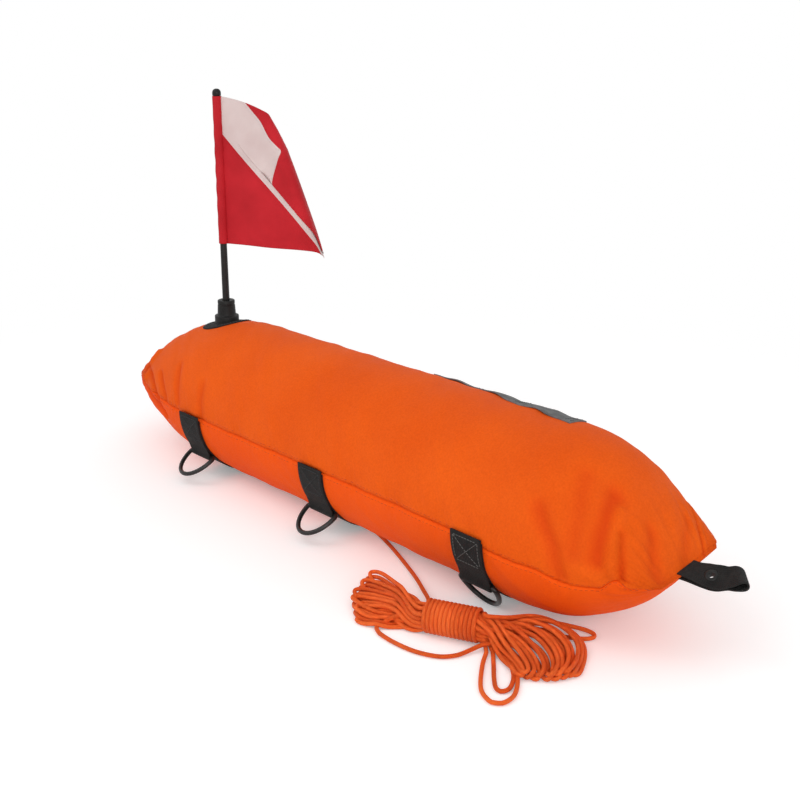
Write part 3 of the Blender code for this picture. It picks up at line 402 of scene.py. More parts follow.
def fan_knots(fan, share):
    """Knots of the loop that lies at this share of a fan."""
    fan = np.array(fan)
    return [tuple(np.interp(share, (0, 0.5, 1), fan[:, k, axis]) for axis in range(3))
            for k in range(fan.shape[1])]


def round_turn(knots):
    """Give a loop a round end where it turns, between its third and fourth knot."""
    knots = [Vector(knot) for knot in knots]
    middle = (knots[2] + knots[3]) / 2
    out = (middle - (knots[1] + knots[4]) / 2).normalized()
    half = (knots[2] - knots[3]).length / 2
    return knots[:2] + [knots[2] - out * half * 0.6, middle + out * half * 0.5,
                        knots[3] - out * half * 0.6] + knots[4:]


def hand_loop(knots, leave, enter, lift):
    """Points of one loop, out of the waist, round its turn and back in."""
    edge = math.copysign(LOOP_EDGE, knots[0][0])
    return [(edge, leave[0] * LOOP_FLARE, leave[1])] + [
        (along, across, height + lift) for along, across, height in round_turn(knots)
    ] + [(edge, enter[0] * LOOP_FLARE, enter[1])]


def hand_route():
    """The whole line as knots, and whether each knot is held still."""
    knots = [(Vector(point), True) for point in LEAD_ROUTE]
    half_across = (max(WAIST_ROWS) - 1) / 2 * STRAND_GAP + LINE + WRAP_PLAY
    half_height = (len(WAIST_ROWS) - 1) / 2 * ROW_RISE + LINE + WRAP_PLAY
    wobble = random.Random(5)
    for i in range(1, WRAP_TURNS * TURN_KNOTS + 5):
        turn = i / TURN_KNOTS
        angle = 2 * math.pi * turn
        along = -WAIST_END + 0.002 + turn * (2 * WAIST_END - 0.002) / WRAP_TURNS
        slack = 1 + WRAP_SLACK * wobble.random()
        knots.append((hank_place(along, half_across * slack * math.cos(angle),
                                 WAIST_MIDDLE + half_height * math.sin(angle)),
                      i < WRAP_TURNS * TURN_KNOTS - 2))

    def lay(points, held):
        knots.extend((hank_place(*point), held) for point in points)

    slots = waist_slots()
    before = (-0.006, WAIST_MIDDLE + half_height)
    through = (0.024, 0.012, 0, -0.012, -0.024)
    for i in range(RIGHT_LOOPS):
        enter = slots[2 * i]
        if i in FRONT_LOOPS:
            lay([(WAIST_LEAVE, *before)], False)
            lay([(*knot, FLOOR_HEIGHT) for knot in FRONT_LOOPS[i]], True)
            lay([(WAIST_LEAVE, *enter)], False)
        else:
            turn = LONG_LOOP_KNOTS if i == LONG_LOOP else fan_knots(
                RIGHT_FAN, 1 - (i / (RIGHT_LOOPS - 1)) ** FAN_CROWDING)
            lay(hand_loop(turn, before, enter, RIGHT_LIFT * (i % 3)), False)
        lay([(along, *enter) for along in through], True)
        if i < LEFT_LOOPS:
            before = slots[2 * i + 1]
            turn = fan_knots(LEFT_FAN, i / (LEFT_LOOPS - 1))
            lay(hand_loop(turn, enter, before, LEFT_LIFT * (i % 3)), False)
            lay([(along, *before) for along in reversed(through)], True)
    knots += [(hank_place(*point), i > 3) for i, point in enumerate(SLACK_END)]
    return knots


def reach_along(points):
    """How far each point lies from the first, along the line through them."""
    return np.concatenate([[0], np.cumsum(np.linalg.norm(np.diff(points, axis=0), axis=1))])


def points_at(wanted, reach, points):
    """Points at the wanted distances along a line."""
    return np.column_stack([np.interp(wanted, reach, part) for part in points.T])


def even_points(knots):
    """Evenly spaced points on a smooth curve through the knots, and which are held."""
    places = np.array([knot[0] for knot in knots])
    held = np.array([knot[1] for knot in knots])
    padded = np.vstack([places[0], places, places[-1]])
    t = np.linspace(0, 1, 24, endpoint=False)[:, None]
    fine, fine_held = [], []
    for i in range(len(places) - 1):
        a, b, c, d = padded[i:i + 4]
        fine.append(0.5 * (2 * b + (c - a) * t + (2 * a - 5 * b + 4 * c - d) * t ** 2
                           + (3 * b - a - 3 * c + d) * t ** 3))
        fine_held += [held[i] and held[i + 1]] * len(t)
    fine = np.vstack(fine + [places[-1:]])
    fine_held.append(held[-1])
    reach = reach_along(fine)
    wanted = np.linspace(0, reach[-1], int(reach[-1] / STEP) + 1)
    still = np.interp(wanted, reach, np.array(fine_held, float)) > 0.99
    return points_at(wanted, reach, fine), still


route, held_points = even_points(hand_route())
print(f"line as laid: {len(route)} points, {len(route) * STEP:.2f} m")

# %% Settle the line
RING_BAR_Y, RING_BAR_Z, RING_REACH = -0.0735, 0.0298, 0.0385
RING_FROM_X, RING_TO_X = 0.197, 0.253
LINE_GAP = LINE * 1.02
PAIR_REACH = LINE_GAP * 1.7
PAIRS_EVERY = 5
BLOCK = 400
HULL_GAP, FLOOR_GAP, REST_GAP = 0.0008, 0.0002, 0.0003
TIGHT_SHARE = 0.85
LINE_FALL = 0.00003
LINE_STIFFNESS = 0.03
PUSH_SHARE = 1.3
SMOOTHINGS = 5


def push_from_hull(points, margin):
    """Move points that are inside the hull to just outside it."""
    width, rise, drop = girth(points[:, 0])
    below = points[:, 2] < SEAM_HEIGHT
    height = np.where(below, drop, rise) + margin
    y, z = points[:, 1], points[:, 2] - SEAM_HEIGHT
    depth = np.sqrt((y / (width + margin)) ** 2 + (z / height) ** 2)
    inside = (depth < 1) & (points[:, 0] < NOSE_X) & (points[:, 0] > TAIL_X)
    grow = np.where(inside, 1 / np.maximum(depth, 0.2), 1)
    points[:, 1] = y * grow
    points[:, 2] = np.where(inside, SEAM_HEIGHT + z * grow, points[:, 2])


def push_from_ring(points):
    """Keep the line out of the way of the front ring, which swings."""
    y, z = points[:, 1] - RING_BAR_Y, points[:, 2] - RING_BAR_Z
    away = np.maximum(np.hypot(y, z), 0.0001)
    near = (away < RING_REACH) & (points[:, 0] > RING_FROM_X) & (points[:, 0] < RING_TO_X)
    grow = np.where(near, RING_REACH / away, 1)
    points[:, 1] = RING_BAR_Y + y * grow
    points[:, 2] = np.where(near, RING_BAR_Z + z * grow, points[:, 2])


def close_pairs(points, radius):
    """Pairs of points nearer than the radius that aren't neighbours along the line."""
    found = []
    for start in range(0, len(points), BLOCK):
        block = points[start:start + BLOCK]
        square = ((block[:, None, :] - points[None, :, :]) ** 2).sum(-1)
        first, second = np.nonzero(square < radius * radius)
        first = first + start
        keep = second > first + 2
        found.append(np.column_stack([first[keep], second[keep]]))
    return np.vstack(found)


def settle_line(points, still, rounds):
    """Let the free points fall, keep their spacing, and push strands apart."""
    points = points.astype(float).copy()
    free = ~still
    inner = free.copy()
    inner[:2] = inner[-2:] = False
    spacing = np.linalg.norm(np.diff(points, axis=0), axis=1)
    for step in range(rounds):
        if step % PAIRS_EVERY == 0:
            first, second = close_pairs(points, PAIR_REACH).T
        points[free, 2] -= LINE_FALL
        for parity in (0, 1):
            a, b = points[parity:-1:2], points[parity + 1::2]
            a_free, b_free = free[parity:-1:2], free[parity + 1::2]
            line = b - a
            size = np.linalg.norm(line, axis=1)
            wrong = (size - spacing[parity::2]) / np.maximum(size, 1e-6)
            move = line * wrong[:, None] * 0.5
            a += move * a_free[:, None]
            b -= move * b_free[:, None]
        bend = (points[:-4] + points[4:]) / 2 - points[2:-2]
        points[2:-2] += bend * LINE_STIFFNESS * inner[2:-2, None]
        line = points[second] - points[first]
        size = np.maximum(np.linalg.norm(line, axis=1), 1e-5)
        short = np.clip(LINE_GAP - size, 0, None)
        move = line / size[:, None] * (short * 0.5)[:, None]
        push, count = np.zeros_like(points), np.zeros(len(points))
        for ends, way in ((first, -move), (second, move)):
            np.add.at(push, ends, way)
            np.add.at(count, ends, short > 0)
        points += push / np.maximum(count, 1)[:, None] * PUSH_SHARE * free[:, None]
        moved = points[free]
        push_from_hull(moved, LINE / 2 + HULL_GAP)
        push_from_ring(moved)
        moved[:, 2] = np.maximum(moved[:, 2], LINE / 2 + FLOOR_GAP)
        points[free] = moved
    for step in range(SMOOTHINGS):
        middle = (points[:-2] + points[2:]) / 2 - points[1:-1]
        points[1:-1] += middle * 0.5 * free[1:-1, None]
    points[:, 2] = np.maximum(points[:, 2], LINE / 2 + REST_GAP)
    return points


rope_path = settle_line(route, held_points, 120)
rope_length = float(reach_along(rope_path)[-1])
tight = close_pairs(rope_path, LINE * TIGHT_SHARE)
print(f"line settled: {rope_length:.2f} m, {len(tight)} places closer than {TIGHT_SHARE} of "
      "its width")

# %% [markdown]
# The rope is braided, so its surface is made of short slanting bumps that cross each other.
# The tube's own UV map runs once round it and once along it, which places the braid.

# %% Rope material and tube
BRAID_PITCH = 0.0042
BRAID_STRANDS = 4


def rope_material():
    skin = new_material("braided orange rope", 0.55)
    u, v = uv_parts(skin)
    along = calculate(skin, "MULTIPLY", v, 2 * math.pi * rope_length / BRAID_PITCH)
    around = calculate(skin, "MULTIPLY", u, 2 * math.pi * BRAID_STRANDS)
    left = calculate(skin, "SINE", calculate(skin, "ADD", along, around))
    right = calculate(skin, "SINE", calculate(skin, "SUBTRACT", along, around))
    braid = calculate(skin, "MAXIMUM", left, right)
    # The colour is darker in the braid's grooves and lighter on its crests: painted shade.
    shade = calculate(skin, "MULTIPLY", calculate(skin, "ADD", braid, 1.0), 0.5)
    cloud = noise_value(skin, 60, 4)
    mixed = calculate(skin, "MULTIPLY", calculate(skin, "ADD", shade, cloud), 0.5)
    shade_between(skin, mixed, (0.94, 0.082, 0.006), (1.0, 0.170, 0.028), 0.25, 0.75)
    raise_surface(skin, braid, 0.0003, 0.7)
    return skin


def tube_mesh(name, points, radius, skin, resolution=4, cyclic=False):
    """A round tube along the points, as a mesh with closed ends and its own UV map."""
    data = bpy.data.curves.new(name, "CURVE")
    data.dimensions = "3D"
    data.bevel_depth = radius
    data.bevel_resolution = resolution
    data.use_fill_caps = not cyclic
    spline = data.splines.new("POLY")
    spline.points.add(len(points) - 1)
    for slot, point in zip(spline.points, points):
        slot.co = (*point, 1)
    spline.use_cyclic_u = cyclic
    guide = bpy.data.objects.new(name + "_guide", data)
    scene.collection.objects.link(guide)
    bpy.context.view_layer.update()
    graph = bpy.context.evaluated_depsgraph_get()
    mesh = bmesh.new()
    mesh.from_mesh(bpy.data.meshes.new_from_object(guide.evaluated_get(graph)))
    bpy.data.objects.remove(guide, do_unlink=True)
    bmesh.ops.remove_doubles(mesh, verts=mesh.verts, dist=radius * 0.001)
    bmesh.ops.recalc_face_normals(mesh, faces=mesh.faces)
    return object_from(mesh, name, skin)


rope = tube_mesh("hank_and_lead_rope", rope_path, LINE / 2, rope_material())
dress(rope, "float", "orange_line", "line_lead", "line_wrap", "line_hank")
print("rope:", len(rope.data.polygons), "faces")

# %% [markdown]
# A flat grid is the start of every cloth and webbing piece.  Its points are then set on the
# surface that the cloth takes, and its UV map keeps the cloth's own size in metres, so that
# a weave stays at its true scale however the cloth is bent.

# %% Cloth from a grid


def mapped_grid(name, columns, rows, place, size, skin, fold=None):
    """A grid of cloth: place takes shares along and across, and gives points.

    size is the cloth's width and length, or a rule that gives the places in the flat.
    fold is a rule that gives how deep in a crease each point lies."""
    mesh = bmesh.new()
    bmesh.ops.create_grid(mesh, x_segments=columns, y_segments=rows, size=0.5)
    cloth = object_from(mesh, name, skin)
    data = cloth.data
    flat = np.empty(len(data.vertices) * 3)
    data.vertices.foreach_get("co", flat)
    along, across = flat.reshape(-1, 3)[:, 0] + 0.5, flat.reshape(-1, 3)[:, 1] + 0.5
    data.vertices.foreach_set("co", place(along, across).ravel())
    corner = np.empty(len(data.loops), np.int32)
    data.loops.foreach_get("vertex_index", corner)
    flat_uv = size(along, across) if callable(size) else (along * size[0], across * size[1])
    uv = np.column_stack(flat_uv)[corner]
    data.uv_layers.new(name="UVMap").data.foreach_set("uv", uv.ravel())
    if fold:
        depth = fold(along, across)
        data.attributes.new("fold", "FLOAT", "POINT").data.foreach_set("value", depth)
    data.update()
    return cloth


def give_thickness(piece, thickness, offset=0.0, rounding=0.0):
    wall = piece.modifiers.new("thickness", "SOLIDIFY")
    wall.thickness = thickness
    wall.offset = offset
    if rounding:
        edge = piece.modifiers.new("rounded edges", "BEVEL")
        edge.width = rounding
        edge.segments = 2
        edge.limit_method = "ANGLE"
    return piece


def weld(piece, distance, fills=None):
    """Join points that lie together; fills tells which open edges are closed by faces."""
    mesh = bmesh.new()
    mesh.from_mesh(piece.data)
    bmesh.ops.remove_doubles(mesh, verts=mesh.verts, dist=distance)
    if fills:
        bmesh.ops.holes_fill(mesh, sides=0, edges=[
            edge for edge in mesh.edges if edge.is_boundary and fills(edge.verts[0].co)])
    bmesh.ops.recalc_face_normals(mesh, faces=mesh.faces)
    mesh.to_mesh(piece.data)
    mesh.free()


# %% [markdown]
# The cover is coated nylon, sewn from an upper and a belly panel.  The air inside holds it
# in the hull's shape; what makes it look sewn is at its edges.  The seam on the near side
# isn't a straight line but dips towards the nose and is pinched up in one place, small
# puckers run away from it, and deep creases gather at the nose and tail.

# %% Places on the cover
PANEL_COLUMNS = 400
PANEL_ROWS = 84
SEAM_DIP_X = (-0.43, 0.15, 0.2022, 0.2488, 0.3047, 0.3244, 0.345, 0.3607, 0.373, 0.3823,
              0.392, 0.402)
SEAM_DIP_ANGLE = (0, 1, 1.9, 5.3, 6, 12.0, 13.0, 12.5, -8.6, 6.5, 0, 0)
NOSE_ROLL = math.tan(math.radians(13))
ROLL_FROM_X = 0.345
MAST_X = -0.270
ZIP_ANGLE = math.radians(22.5)
LOWEST_CLOTH = 0.0020


def ease(share):
    share = np.clip(share, 0, 1)
    return share * share * (3 - 2 * share)


def seam_angle(x):
    """Angle of the near seam round the hull, 180 degrees where it is level."""
    fine = np.linspace(TAIL_X, NOSE_X, 900)
    dip = np.interp(fine, SEAM_DIP_X, SEAM_DIP_ANGLE)
    window = np.hanning(15) / np.hanning(15).sum()
    dip = np.convolve(np.pad(dip, 7, mode="edge"), window, mode="valid")
    return np.radians(180 + np.interp(x, fine, dip))


def hull_points(x, angle):
    """Points of the plain hull; the angle runs from the far seam over the crown."""
    width, rise, drop = girth(x)
    height = np.where(np.sin(angle) > 0, rise, drop)
    y = width * np.cos(angle)
    z = SEAM_HEIGHT + height * np.sin(angle)
    roll = NOSE_ROLL * ease((x - ROLL_FROM_X) / (NOSE_X - ROLL_FROM_X))
    z = z + roll * np.where(y > 0, y, 0.35 * y)
    return np.column_stack([x, y, z])


def hull_normals(x, angle):
    inside = np.clip(x, TAIL_X + 0.006, NOSE_X - 0.006)
    along = hull_points(inside + 0.0005, angle) - hull_points(inside - 0.0005, angle)
    round_it = hull_points(inside, angle + 0.004) - hull_points(inside, angle - 0.004)
    normal = np.cross(round_it, along)
    return normal / np.maximum(np.linalg.norm(normal, axis=1), 1e-12)[:, None]


# %% Creases and puckers
# Each crease: its line over the cover as (x, degrees), its depth and its width
CREASES = (
    (((0.344, 114), (0.3515, 136), (0.356, 166)), 0.0046, 0.0085),
    (((0.354, 120), (0.363, 144), (0.368, 170)), -0.0042, 0.0052),
    (((0.3625, 132), (0.372, 152), (0.3765, 172)), 0.004, 0.0036),
    (((0.348, 34), (0.376, 45), (0.401, 56)), 0.0036, 0.0028),
    (((0.38, 62), (0.392, 82), (0.399, 94)), 0.0018, 0.005),
    (((0.296, 150), (0.316, 166), (0.326, 186)), 0.0034, 0.008),
    (((0.318, 118), (0.33, 140), (0.336, 168)), 0.0024, 0.0085),
    (((0.376, 108), (0.388, 124), (0.396, 140)), 0.0028, 0.006),
    (((-0.372, 140), (-0.356, 158), (-0.333, 169), (-0.316, 184), (-0.302, 198)), 0.0062, 0.0055),
    (((-0.352, 134), (-0.359, 158), (-0.364, 180)), -0.0036, 0.005),
    (((-0.366, 118), (-0.376, 150), (-0.38, 184)), 0.0058, 0.006),
    (((-0.366, 181), (-0.336, 190), (-0.2977, 196)), 0.005, 0.007),
    (((-0.312, 158), (-0.288, 177)), 0.0036, 0.0045),
    (((-0.267, 148), (-0.254, 174)), 0.0028, 0.0055),
    (((-0.209, 156), (-0.205, 179)), 0.0022, 0.0055),
    (((-0.398, 96), (-0.38, 112), (-0.362, 124)), 0.002, 0.006),
    (((-0.408, 56), (-0.382, 70), (-0.356, 78)), 0.0036, 0.007),
)
FACET_DEPTH = 0.0008
SEAM_DEPTH = 0.0015
SEAM_GROOVE = 0.0020
PUCKER_REACH = 0.012
# The cloth lies flat at both ends and under the patch and the zip: how far, and the fade
END_FADE = 0.016
PATCH_CLEAR, PATCH_FADE = 0.042, 0.010
ZIP_CLEAR, ZIP_FADE = 0.024, 0.008
ZIP_END_CLEAR, ZIP_END_FADE = 0.168, 0.014


def distance_to_line(x, arc, line):
    """Distance in the cover's own surface to a line of (x, degrees) knots."""
    best = np.full(len(x), 9.0)
    knots = [(a, math.radians(b) * HALF_WIDTH) for a, b in line]
    for (ax, ay), (bx, by) in zip(knots, knots[1:]):
        dx, dy = bx - ax, by - ay
        share = np.clip(((x - ax) * dx + (arc - ay) * dy) / (dx * dx + dy * dy), 0, 1)
        best = np.minimum(best, np.hypot(x - ax - share * dx, arc - ay - share * dy))
    return best


def waves(x, seed, lengths):
    """A sum of a few sine waves with seeded phases, about -1 to 1."""
    draw = random.Random(seed)
    total = sum(np.sin(2 * math.pi * x / length + draw.uniform(0, 2 * math.pi))
                for length in lengths)
    return total / len(lengths)


def crease_relief(x, angle):
    """The creases alone, and the two flat facets that the gathered ends show."""
    arc = angle * HALF_WIDTH
    relief = 0 * x
    for line, depth, width in CREASES:
        relief -= depth * np.exp(-(distance_to_line(x, arc, line) / width) ** 2)
    turn = np.degrees(angle)
    nose_facet = ease((x - 0.352 - 0.0026 * (turn - 34)) / 0.020) * ease((58 - turn) / 16)
    nose_facet *= ease((turn + 10) / 20)
    tail_facet = ease((-0.352 - x) / 0.016) * ease((turn - 132) / 14) * ease((196 - turn) / 18)
    return relief - FACET_DEPTH * nose_facet - FACET_DEPTH * tail_facet


def cover_relief(x, angle):
    """How far the cloth stands out from the plain hull."""
    arc = angle * HALF_WIDTH
    to_near = np.abs(angle - seam_angle(x)) * HALF_WIDTH
    to_far = np.minimum(np.abs(angle), np.abs(angle - 2 * math.pi)) * HALF_WIDTH
    relief = 0.0007 * waves(x + 0.3 * arc, 3, (0.085, 0.13, 0.061))
    relief += 0.0004 * waves(x - 0.9 * arc, 4, (0.033, 0.051, 0.027))
    for to_seam, seed in ((to_near, 5), (to_far, 6)):
        pucker = np.abs(waves(x + 0.25 * to_seam, seed, (0.017, 0.023, 0.0135)))
        relief -= SEAM_DEPTH * pucker * np.exp(-to_seam / PUCKER_REACH)
        relief -= SEAM_DEPTH * np.exp(-(to_seam / SEAM_GROOVE) ** 2)
    to_nose, to_tail = NOSE_X - x, x - TAIL_X
    for to_end, reach, deep, seed in ((to_nose, 0.030, 0.0016, 7), (to_tail, 0.060, 0.0030, 8)):
        gather = np.abs(waves(arc + 0.10 * to_end, seed, (0.034, 0.052, 0.027)))
        relief -= deep * gather * np.exp(-((to_end - 0.020) / reach) ** 2)
    relief += crease_relief(x, angle)
    flat_end = ease(np.minimum(to_nose, to_tail) / END_FADE)
    from_mast = np.hypot(x - MAST_X, (angle - math.pi / 2) * HALF_WIDTH)
    under_patch = ease((PATCH_CLEAR - from_mast) / PATCH_FADE)
    from_zip = np.abs(angle - ZIP_ANGLE) * HALF_WIDTH
    under_zip = ease((ZIP_CLEAR - from_zip) / ZIP_FADE)
    under_zip *= ease((ZIP_END_CLEAR - np.abs(x)) / ZIP_END_FADE)
    return relief * flat_end * (1 - under_patch) * (1 - under_zip)


def cover_points(x, angle, lift=0.0):
    points = hull_points(x, angle) + hull_normals(x, angle) * (
        cover_relief(x, angle) + lift)[:, None]
    points[:, 2] = np.maximum(points[:, 2], LOWEST_CLOTH)
    return points


def panel_x(share):
    """Places along the float, closer together at both ends."""
    return TAIL_X + BODY_LENGTH * (share - 0.06 * np.sin(2 * math.pi * share))


# %% Nylon
NYLON_WEAVE = 0.0014


def nylon_material(name, low, high, deep=None):
    """Coated nylon; deep is a darker colour painted into its creases and end facets as shade."""
    skin = new_material(name, 0.66)
    inputs = shader_of(skin).inputs
    inputs["Specular IOR Level"].default_value = NYLON_SPECULAR
    cloud = calculate(skin, "MULTIPLY", noise_value(skin, 9, 5), 0.55)
    grain = calculate(skin, "MULTIPLY", noise_value(skin, 520, 2), 0.45)
    shade_between(skin, calculate(skin, "ADD", cloud, grain), low, high)
    raise_surface(skin, weave_value(skin, NYLON_WEAVE), 0.00022, 0.7)
    roughen(skin, (420, 3, 0.0003, 0.5), (45, 6, 0.0009, 0.30))
    # The fold attribute mixes the deep colour in where the cloth lies in a crease: painted shade.
    if deep:
        fold = node(skin, "ShaderNodeAttribute", attribute_name="fold").outputs["Fac"]
        plain = inputs["Base Color"].links[0].from_socket
        mix = node(skin, "ShaderNodeMix", {"Factor": fold, 6: plain, 7: (*deep, 1)},
                   data_type="RGBA")
        join(skin, mix.outputs[2], inputs["Base Color"])
    return skin


# Each nylon's third colour is the painted shade in its creases.
upper_nylon = nylon_material("upper orange nylon", (0.72, 0.078, 0.0016), (0.88, 0.122, 0.0050),
                             (0.62, 0.030, 0.0012))
# The belly is the same nylon as the upper; its brighter, redder copy is painted light for the
# shaded underside.
belly_nylon = nylon_material("belly orange nylon", (0.84, 0.074, 0.0016), (0.95, 0.112, 0.0040),
                             (0.66, 0.030, 0.0012))

# %% Cover panels
PANEL_GIRTH = 0.28
# A crease this deep gets the most painted crease shade, and that most is this share of the deep
# colour.
CREASE_SHADE_DEPTH = 0.0080
CREASE_SHADE_MOST = 0.55
CLOTH = 0.0006


def upper_places(along, across):
    x = panel_x(along)
    return x, seam_angle(x) * (1 - across)


def belly_places(along, across):
    x = panel_x(along)
    return x, 2 * math.pi - (2 * math.pi - seam_angle(x)) * across


def cover_panel(name, places, skin, finish, node_name):
    def place(along, across):
        return cover_points(*places(along, across))

    # How much painted crease shade each point takes, from how deep it lies in a crease.
    def fold(along, across):
        return np.clip(-crease_relief(*places(along, across)) / CREASE_SHADE_DEPTH, 0, CREASE_SHADE_MOST)

    cover = mapped_grid(name, PANEL_COLUMNS, PANEL_ROWS, place, (BODY_LENGTH, PANEL_GIRTH), skin,
                        fold)
    middle = cover.data.polygons[len(cover.data.polygons) // 2]
    outwards = middle.center - Vector((middle.center.x, 0, SEAM_HEIGHT))
    if outwards.dot(middle.normal) < 0:
        cover.data.flip_normals()
    give_thickness(cover, CLOTH, -1)
    dress(cover, "float", finish, node_name)
    print(cover.name, len(cover.data.polygons), "faces")


cover_panel("upper_cover", upper_places, upper_nylon, "orange_nylon", "upper_cover_panel")
cover_panel("belly_cover", belly_places, belly_nylon, "belly_nylon", "belly_cover_panel")

# %% [markdown]
# The seam is held by a close row of thread on each side.  One stitch is a small rounded
# bar; it is repeated along the line of the seam, so each stitch has only a few faces.

# %% Stitches
SEAM_OFFSET = 0.0042
# Each stitch: its length, its width and the gap to the next
SEAM_STITCH = (0.0036, 0.0008, 0.0013)
STRAP_STITCH = (0.0026, 0.0007, 0.0009)
PATCH_STITCH = (0.0026, 0.0007, 0.0010)
GEAR_STITCH = (0.0024, 0.0007, 0.0009)
ZIP_STITCH = (0.0026, 0.0006, 0.0010)


def stitch_row(mesh, points, normals, length, width, gap):
    """Lay bars of thread of this length and width, with gaps, along a line on a surface."""
    reach = reach_along(points)
    place = gap
    while place + length < reach[-1]:
        here = (place, place + length / 2, place + length)
        start, centre, end = map(Vector, points_at(here, reach, points))
        up = Vector(points_at(here, reach, normals)[1]).normalized()
        along = (end - start).normalized()
        side = up.cross(along).normalized()
        turn = Matrix((along, side, along.cross(side))).transposed().to_4x4()
        made = bmesh.ops.create_cube(mesh, size=1)["verts"]
        bmesh.ops.scale(mesh, vec=(length, width, width * 0.7), verts=made)
        for vert in made:
            if vert.co.z > 0:
                vert.co.x *= 0.72
                vert.co.y *= 0.55
        bmesh.ops.transform(mesh, matrix=Matrix.Translation(centre + up * width * 0.25) @ turn,
                            verts=made)
        place += length + gap


def stitches(name, mesh, thread, finish):
    piece = object_from(mesh, name, thread, smooth=False)
    dress(piece, "float", finish)
    print(name, len(piece.data.polygons), "faces")


def cover_stitches(name, rows, lift, sizes, thread, finish):
    """Rows of stitches on the cover; each row has its x and angles, sizes is for one stitch."""
    mesh = bmesh.new()
    for x, angle in rows:
        stitch_row(mesh, cover_points(x, angle, lift), hull_normals(x, angle), *sizes)
    stitches(name, mesh, thread, finish)


def thread_material(name, colour):
    return clouded_material(name, 0.6, (900, 2), [part * 0.72 for part in colour], colour)


orange_thread = thread_material("orange thread", (0.62, 0.060, 0.008))
black_thread = thread_material("black thread", (0.045, 0.045, 0.048))
line_x = np.linspace(TAIL_X + 0.004, NOSE_X - 0.004, 900)
seam_rows = [(line_x, seam + offset / HALF_WIDTH) for offset in (SEAM_OFFSET, -SEAM_OFFSET)
             for seam in (seam_angle(line_x), np.zeros(900))]
cover_stitches("cover_seam_stitches", seam_rows, 0.0001, SEAM_STITCH, orange_thread,
               "orange_nylon")

# %% [markdown]
# Inside the cover lies the airtight bladder with its push-in valve.  It is never seen from
# outside, but it is a real piece, so it has a plain closed form and a clear film finish.

# %% Bladder and valve


def paint(skin, *names):
    """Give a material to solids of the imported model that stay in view."""
    for name in names:
        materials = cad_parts[name].data.materials
        materials.clear()
        materials.append(skin)


def bladder_place(along, across):
    x = TAIL_X + 0.032 + (BODY_LENGTH - 0.064) * along
    angle = 2 * math.pi * (1 - across)
    width, rise, drop = girth(x)
    height = np.where(np.sin(angle) > 0, rise, drop)
    inset = 0.0055 + 0.009 * ease((np.abs(x - 0.02) - 0.29) / 0.06)
    return np.column_stack([x, (width - inset) * np.cos(angle),
                            SEAM_HEIGHT + (height - inset) * np.sin(angle)])


vinyl = clouded_material("clear vinyl film", 0.22, (14, 4), (0.66, 0.69, 0.72),
                         (0.78, 0.80, 0.82), (60, 3, 0.0006, 0.3))
bladder = mapped_grid("bladder_bag", 90, 48, bladder_place, (BODY_LENGTH, 0.53), vinyl)
weld(bladder, 0.00005, fills=lambda place: True)
dress(bladder, "float", "clear_vinyl", "bladder")
paint(vinyl, "valve_body", "valve_plug")
print("bladder:", len(bladder.data.polygons), "faces")

# %% [markdown]
# Webbing is a flat strip that is bent along a line.  The strip is a grid whose one way runs
# along the line and whose other way lies across it, and the ribs of its weave follow its
# UV map.  Each belly strap is one strip under the belly, with a shorter strip sewn over it
# at each end that folds round the ring's bar.

# %% Webbing
RIB_PITCH, YARN_PITCH = 0.0022, 0.0016
STRIP_STEP = 0.0016


def webbing_material(name, low, high):
    skin = new_material(name, 0.72)
    u, v = uv_parts(skin)
    ribs = wave_value(skin, v, RIB_PITCH)
    slant = calculate(skin, "ADD", calculate(skin, "MULTIPLY", u, 2 * math.pi / YARN_PITCH),
                      calculate(skin, "MULTIPLY", ribs, 1.6))
    total = calculate(skin, "ADD", calculate(skin, "SINE", slant),
                      calculate(skin, "MULTIPLY", ribs, 0.6))
    # Darker where the weave lies low and lighter on its ribs, mixed with a cloud: painted shade
    # in the weave.
    shade = calculate(skin, "ADD", calculate(skin, "MULTIPLY", total, 0.12),
                      noise_value(skin, 120, 4))
    shade_between(skin, shade, low, high)
    raise_surface(skin, total, 0.00030, 0.8)
    return skin


black_web = webbing_material("black webbing weave", (0.006, 0.006, 0.006), (0.018, 0.017, 0.016))
# The gear strap is black webbing; this grey is a painted sheen, the light that its raised loops
# catch.
sheen_painted_web = webbing_material("webbing weave with painted sheen", (0.10, 0.10, 0.10), (0.20, 0.20, 0.20))


def webbing_strip(name, line, across, width, thickness, rows=8):
    """A black strip along the line; across is one direction, or one for each point."""
    line = np.array(line, float)
    side = np.broadcast_to(np.array(across, float), line.shape)
    side = side / np.linalg.norm(side, axis=1)[:, None]
    reach = reach_along(line)

    def place(along, over):
        here = along * reach[-1]
        flank = points_at(here, reach, side)
        return points_at(here, reach, line) + flank * ((over - 0.5) * width)[:, None]

    columns = max(int(reach[-1] / STRIP_STEP), 8)
    strip = mapped_grid(name, columns, rows, place, (reach[-1], width), black_web)
    return give_thickness(strip, thickness, 0.0, thickness * 0.28)


def merged(name, strips):
    """Join finished strips into one piece, with their thickness made real."""
    mesh = bmesh.new()
    graph = bpy.context.evaluated_depsgraph_get()
    for strip in strips:
        mesh.from_mesh(bpy.data.meshes.new_from_object(strip.evaluated_get(graph)))
        bpy.data.objects.remove(strip, do_unlink=True)
    return object_from(mesh, name, black_web)


# %% Belly straps
WEBBING_WIDTH = 0.038
WEBBING = 0.0016
SEAT_GAP = 0.0003
BAR_ANGLE = math.radians(37)
RING_WIRE = 0.0045
RING_CLEARANCE = 0.00035
STRAPS = (("rear", -0.225), ("middle", 0.0), ("front", 0.225))


def belly_point(angle, offset):
    y = -(HALF_WIDTH + offset) * math.cos(angle)
    z = SEAM_HEIGHT - (BELLY_DROP + offset) * math.sin(angle)
    return y, max(z, offset)


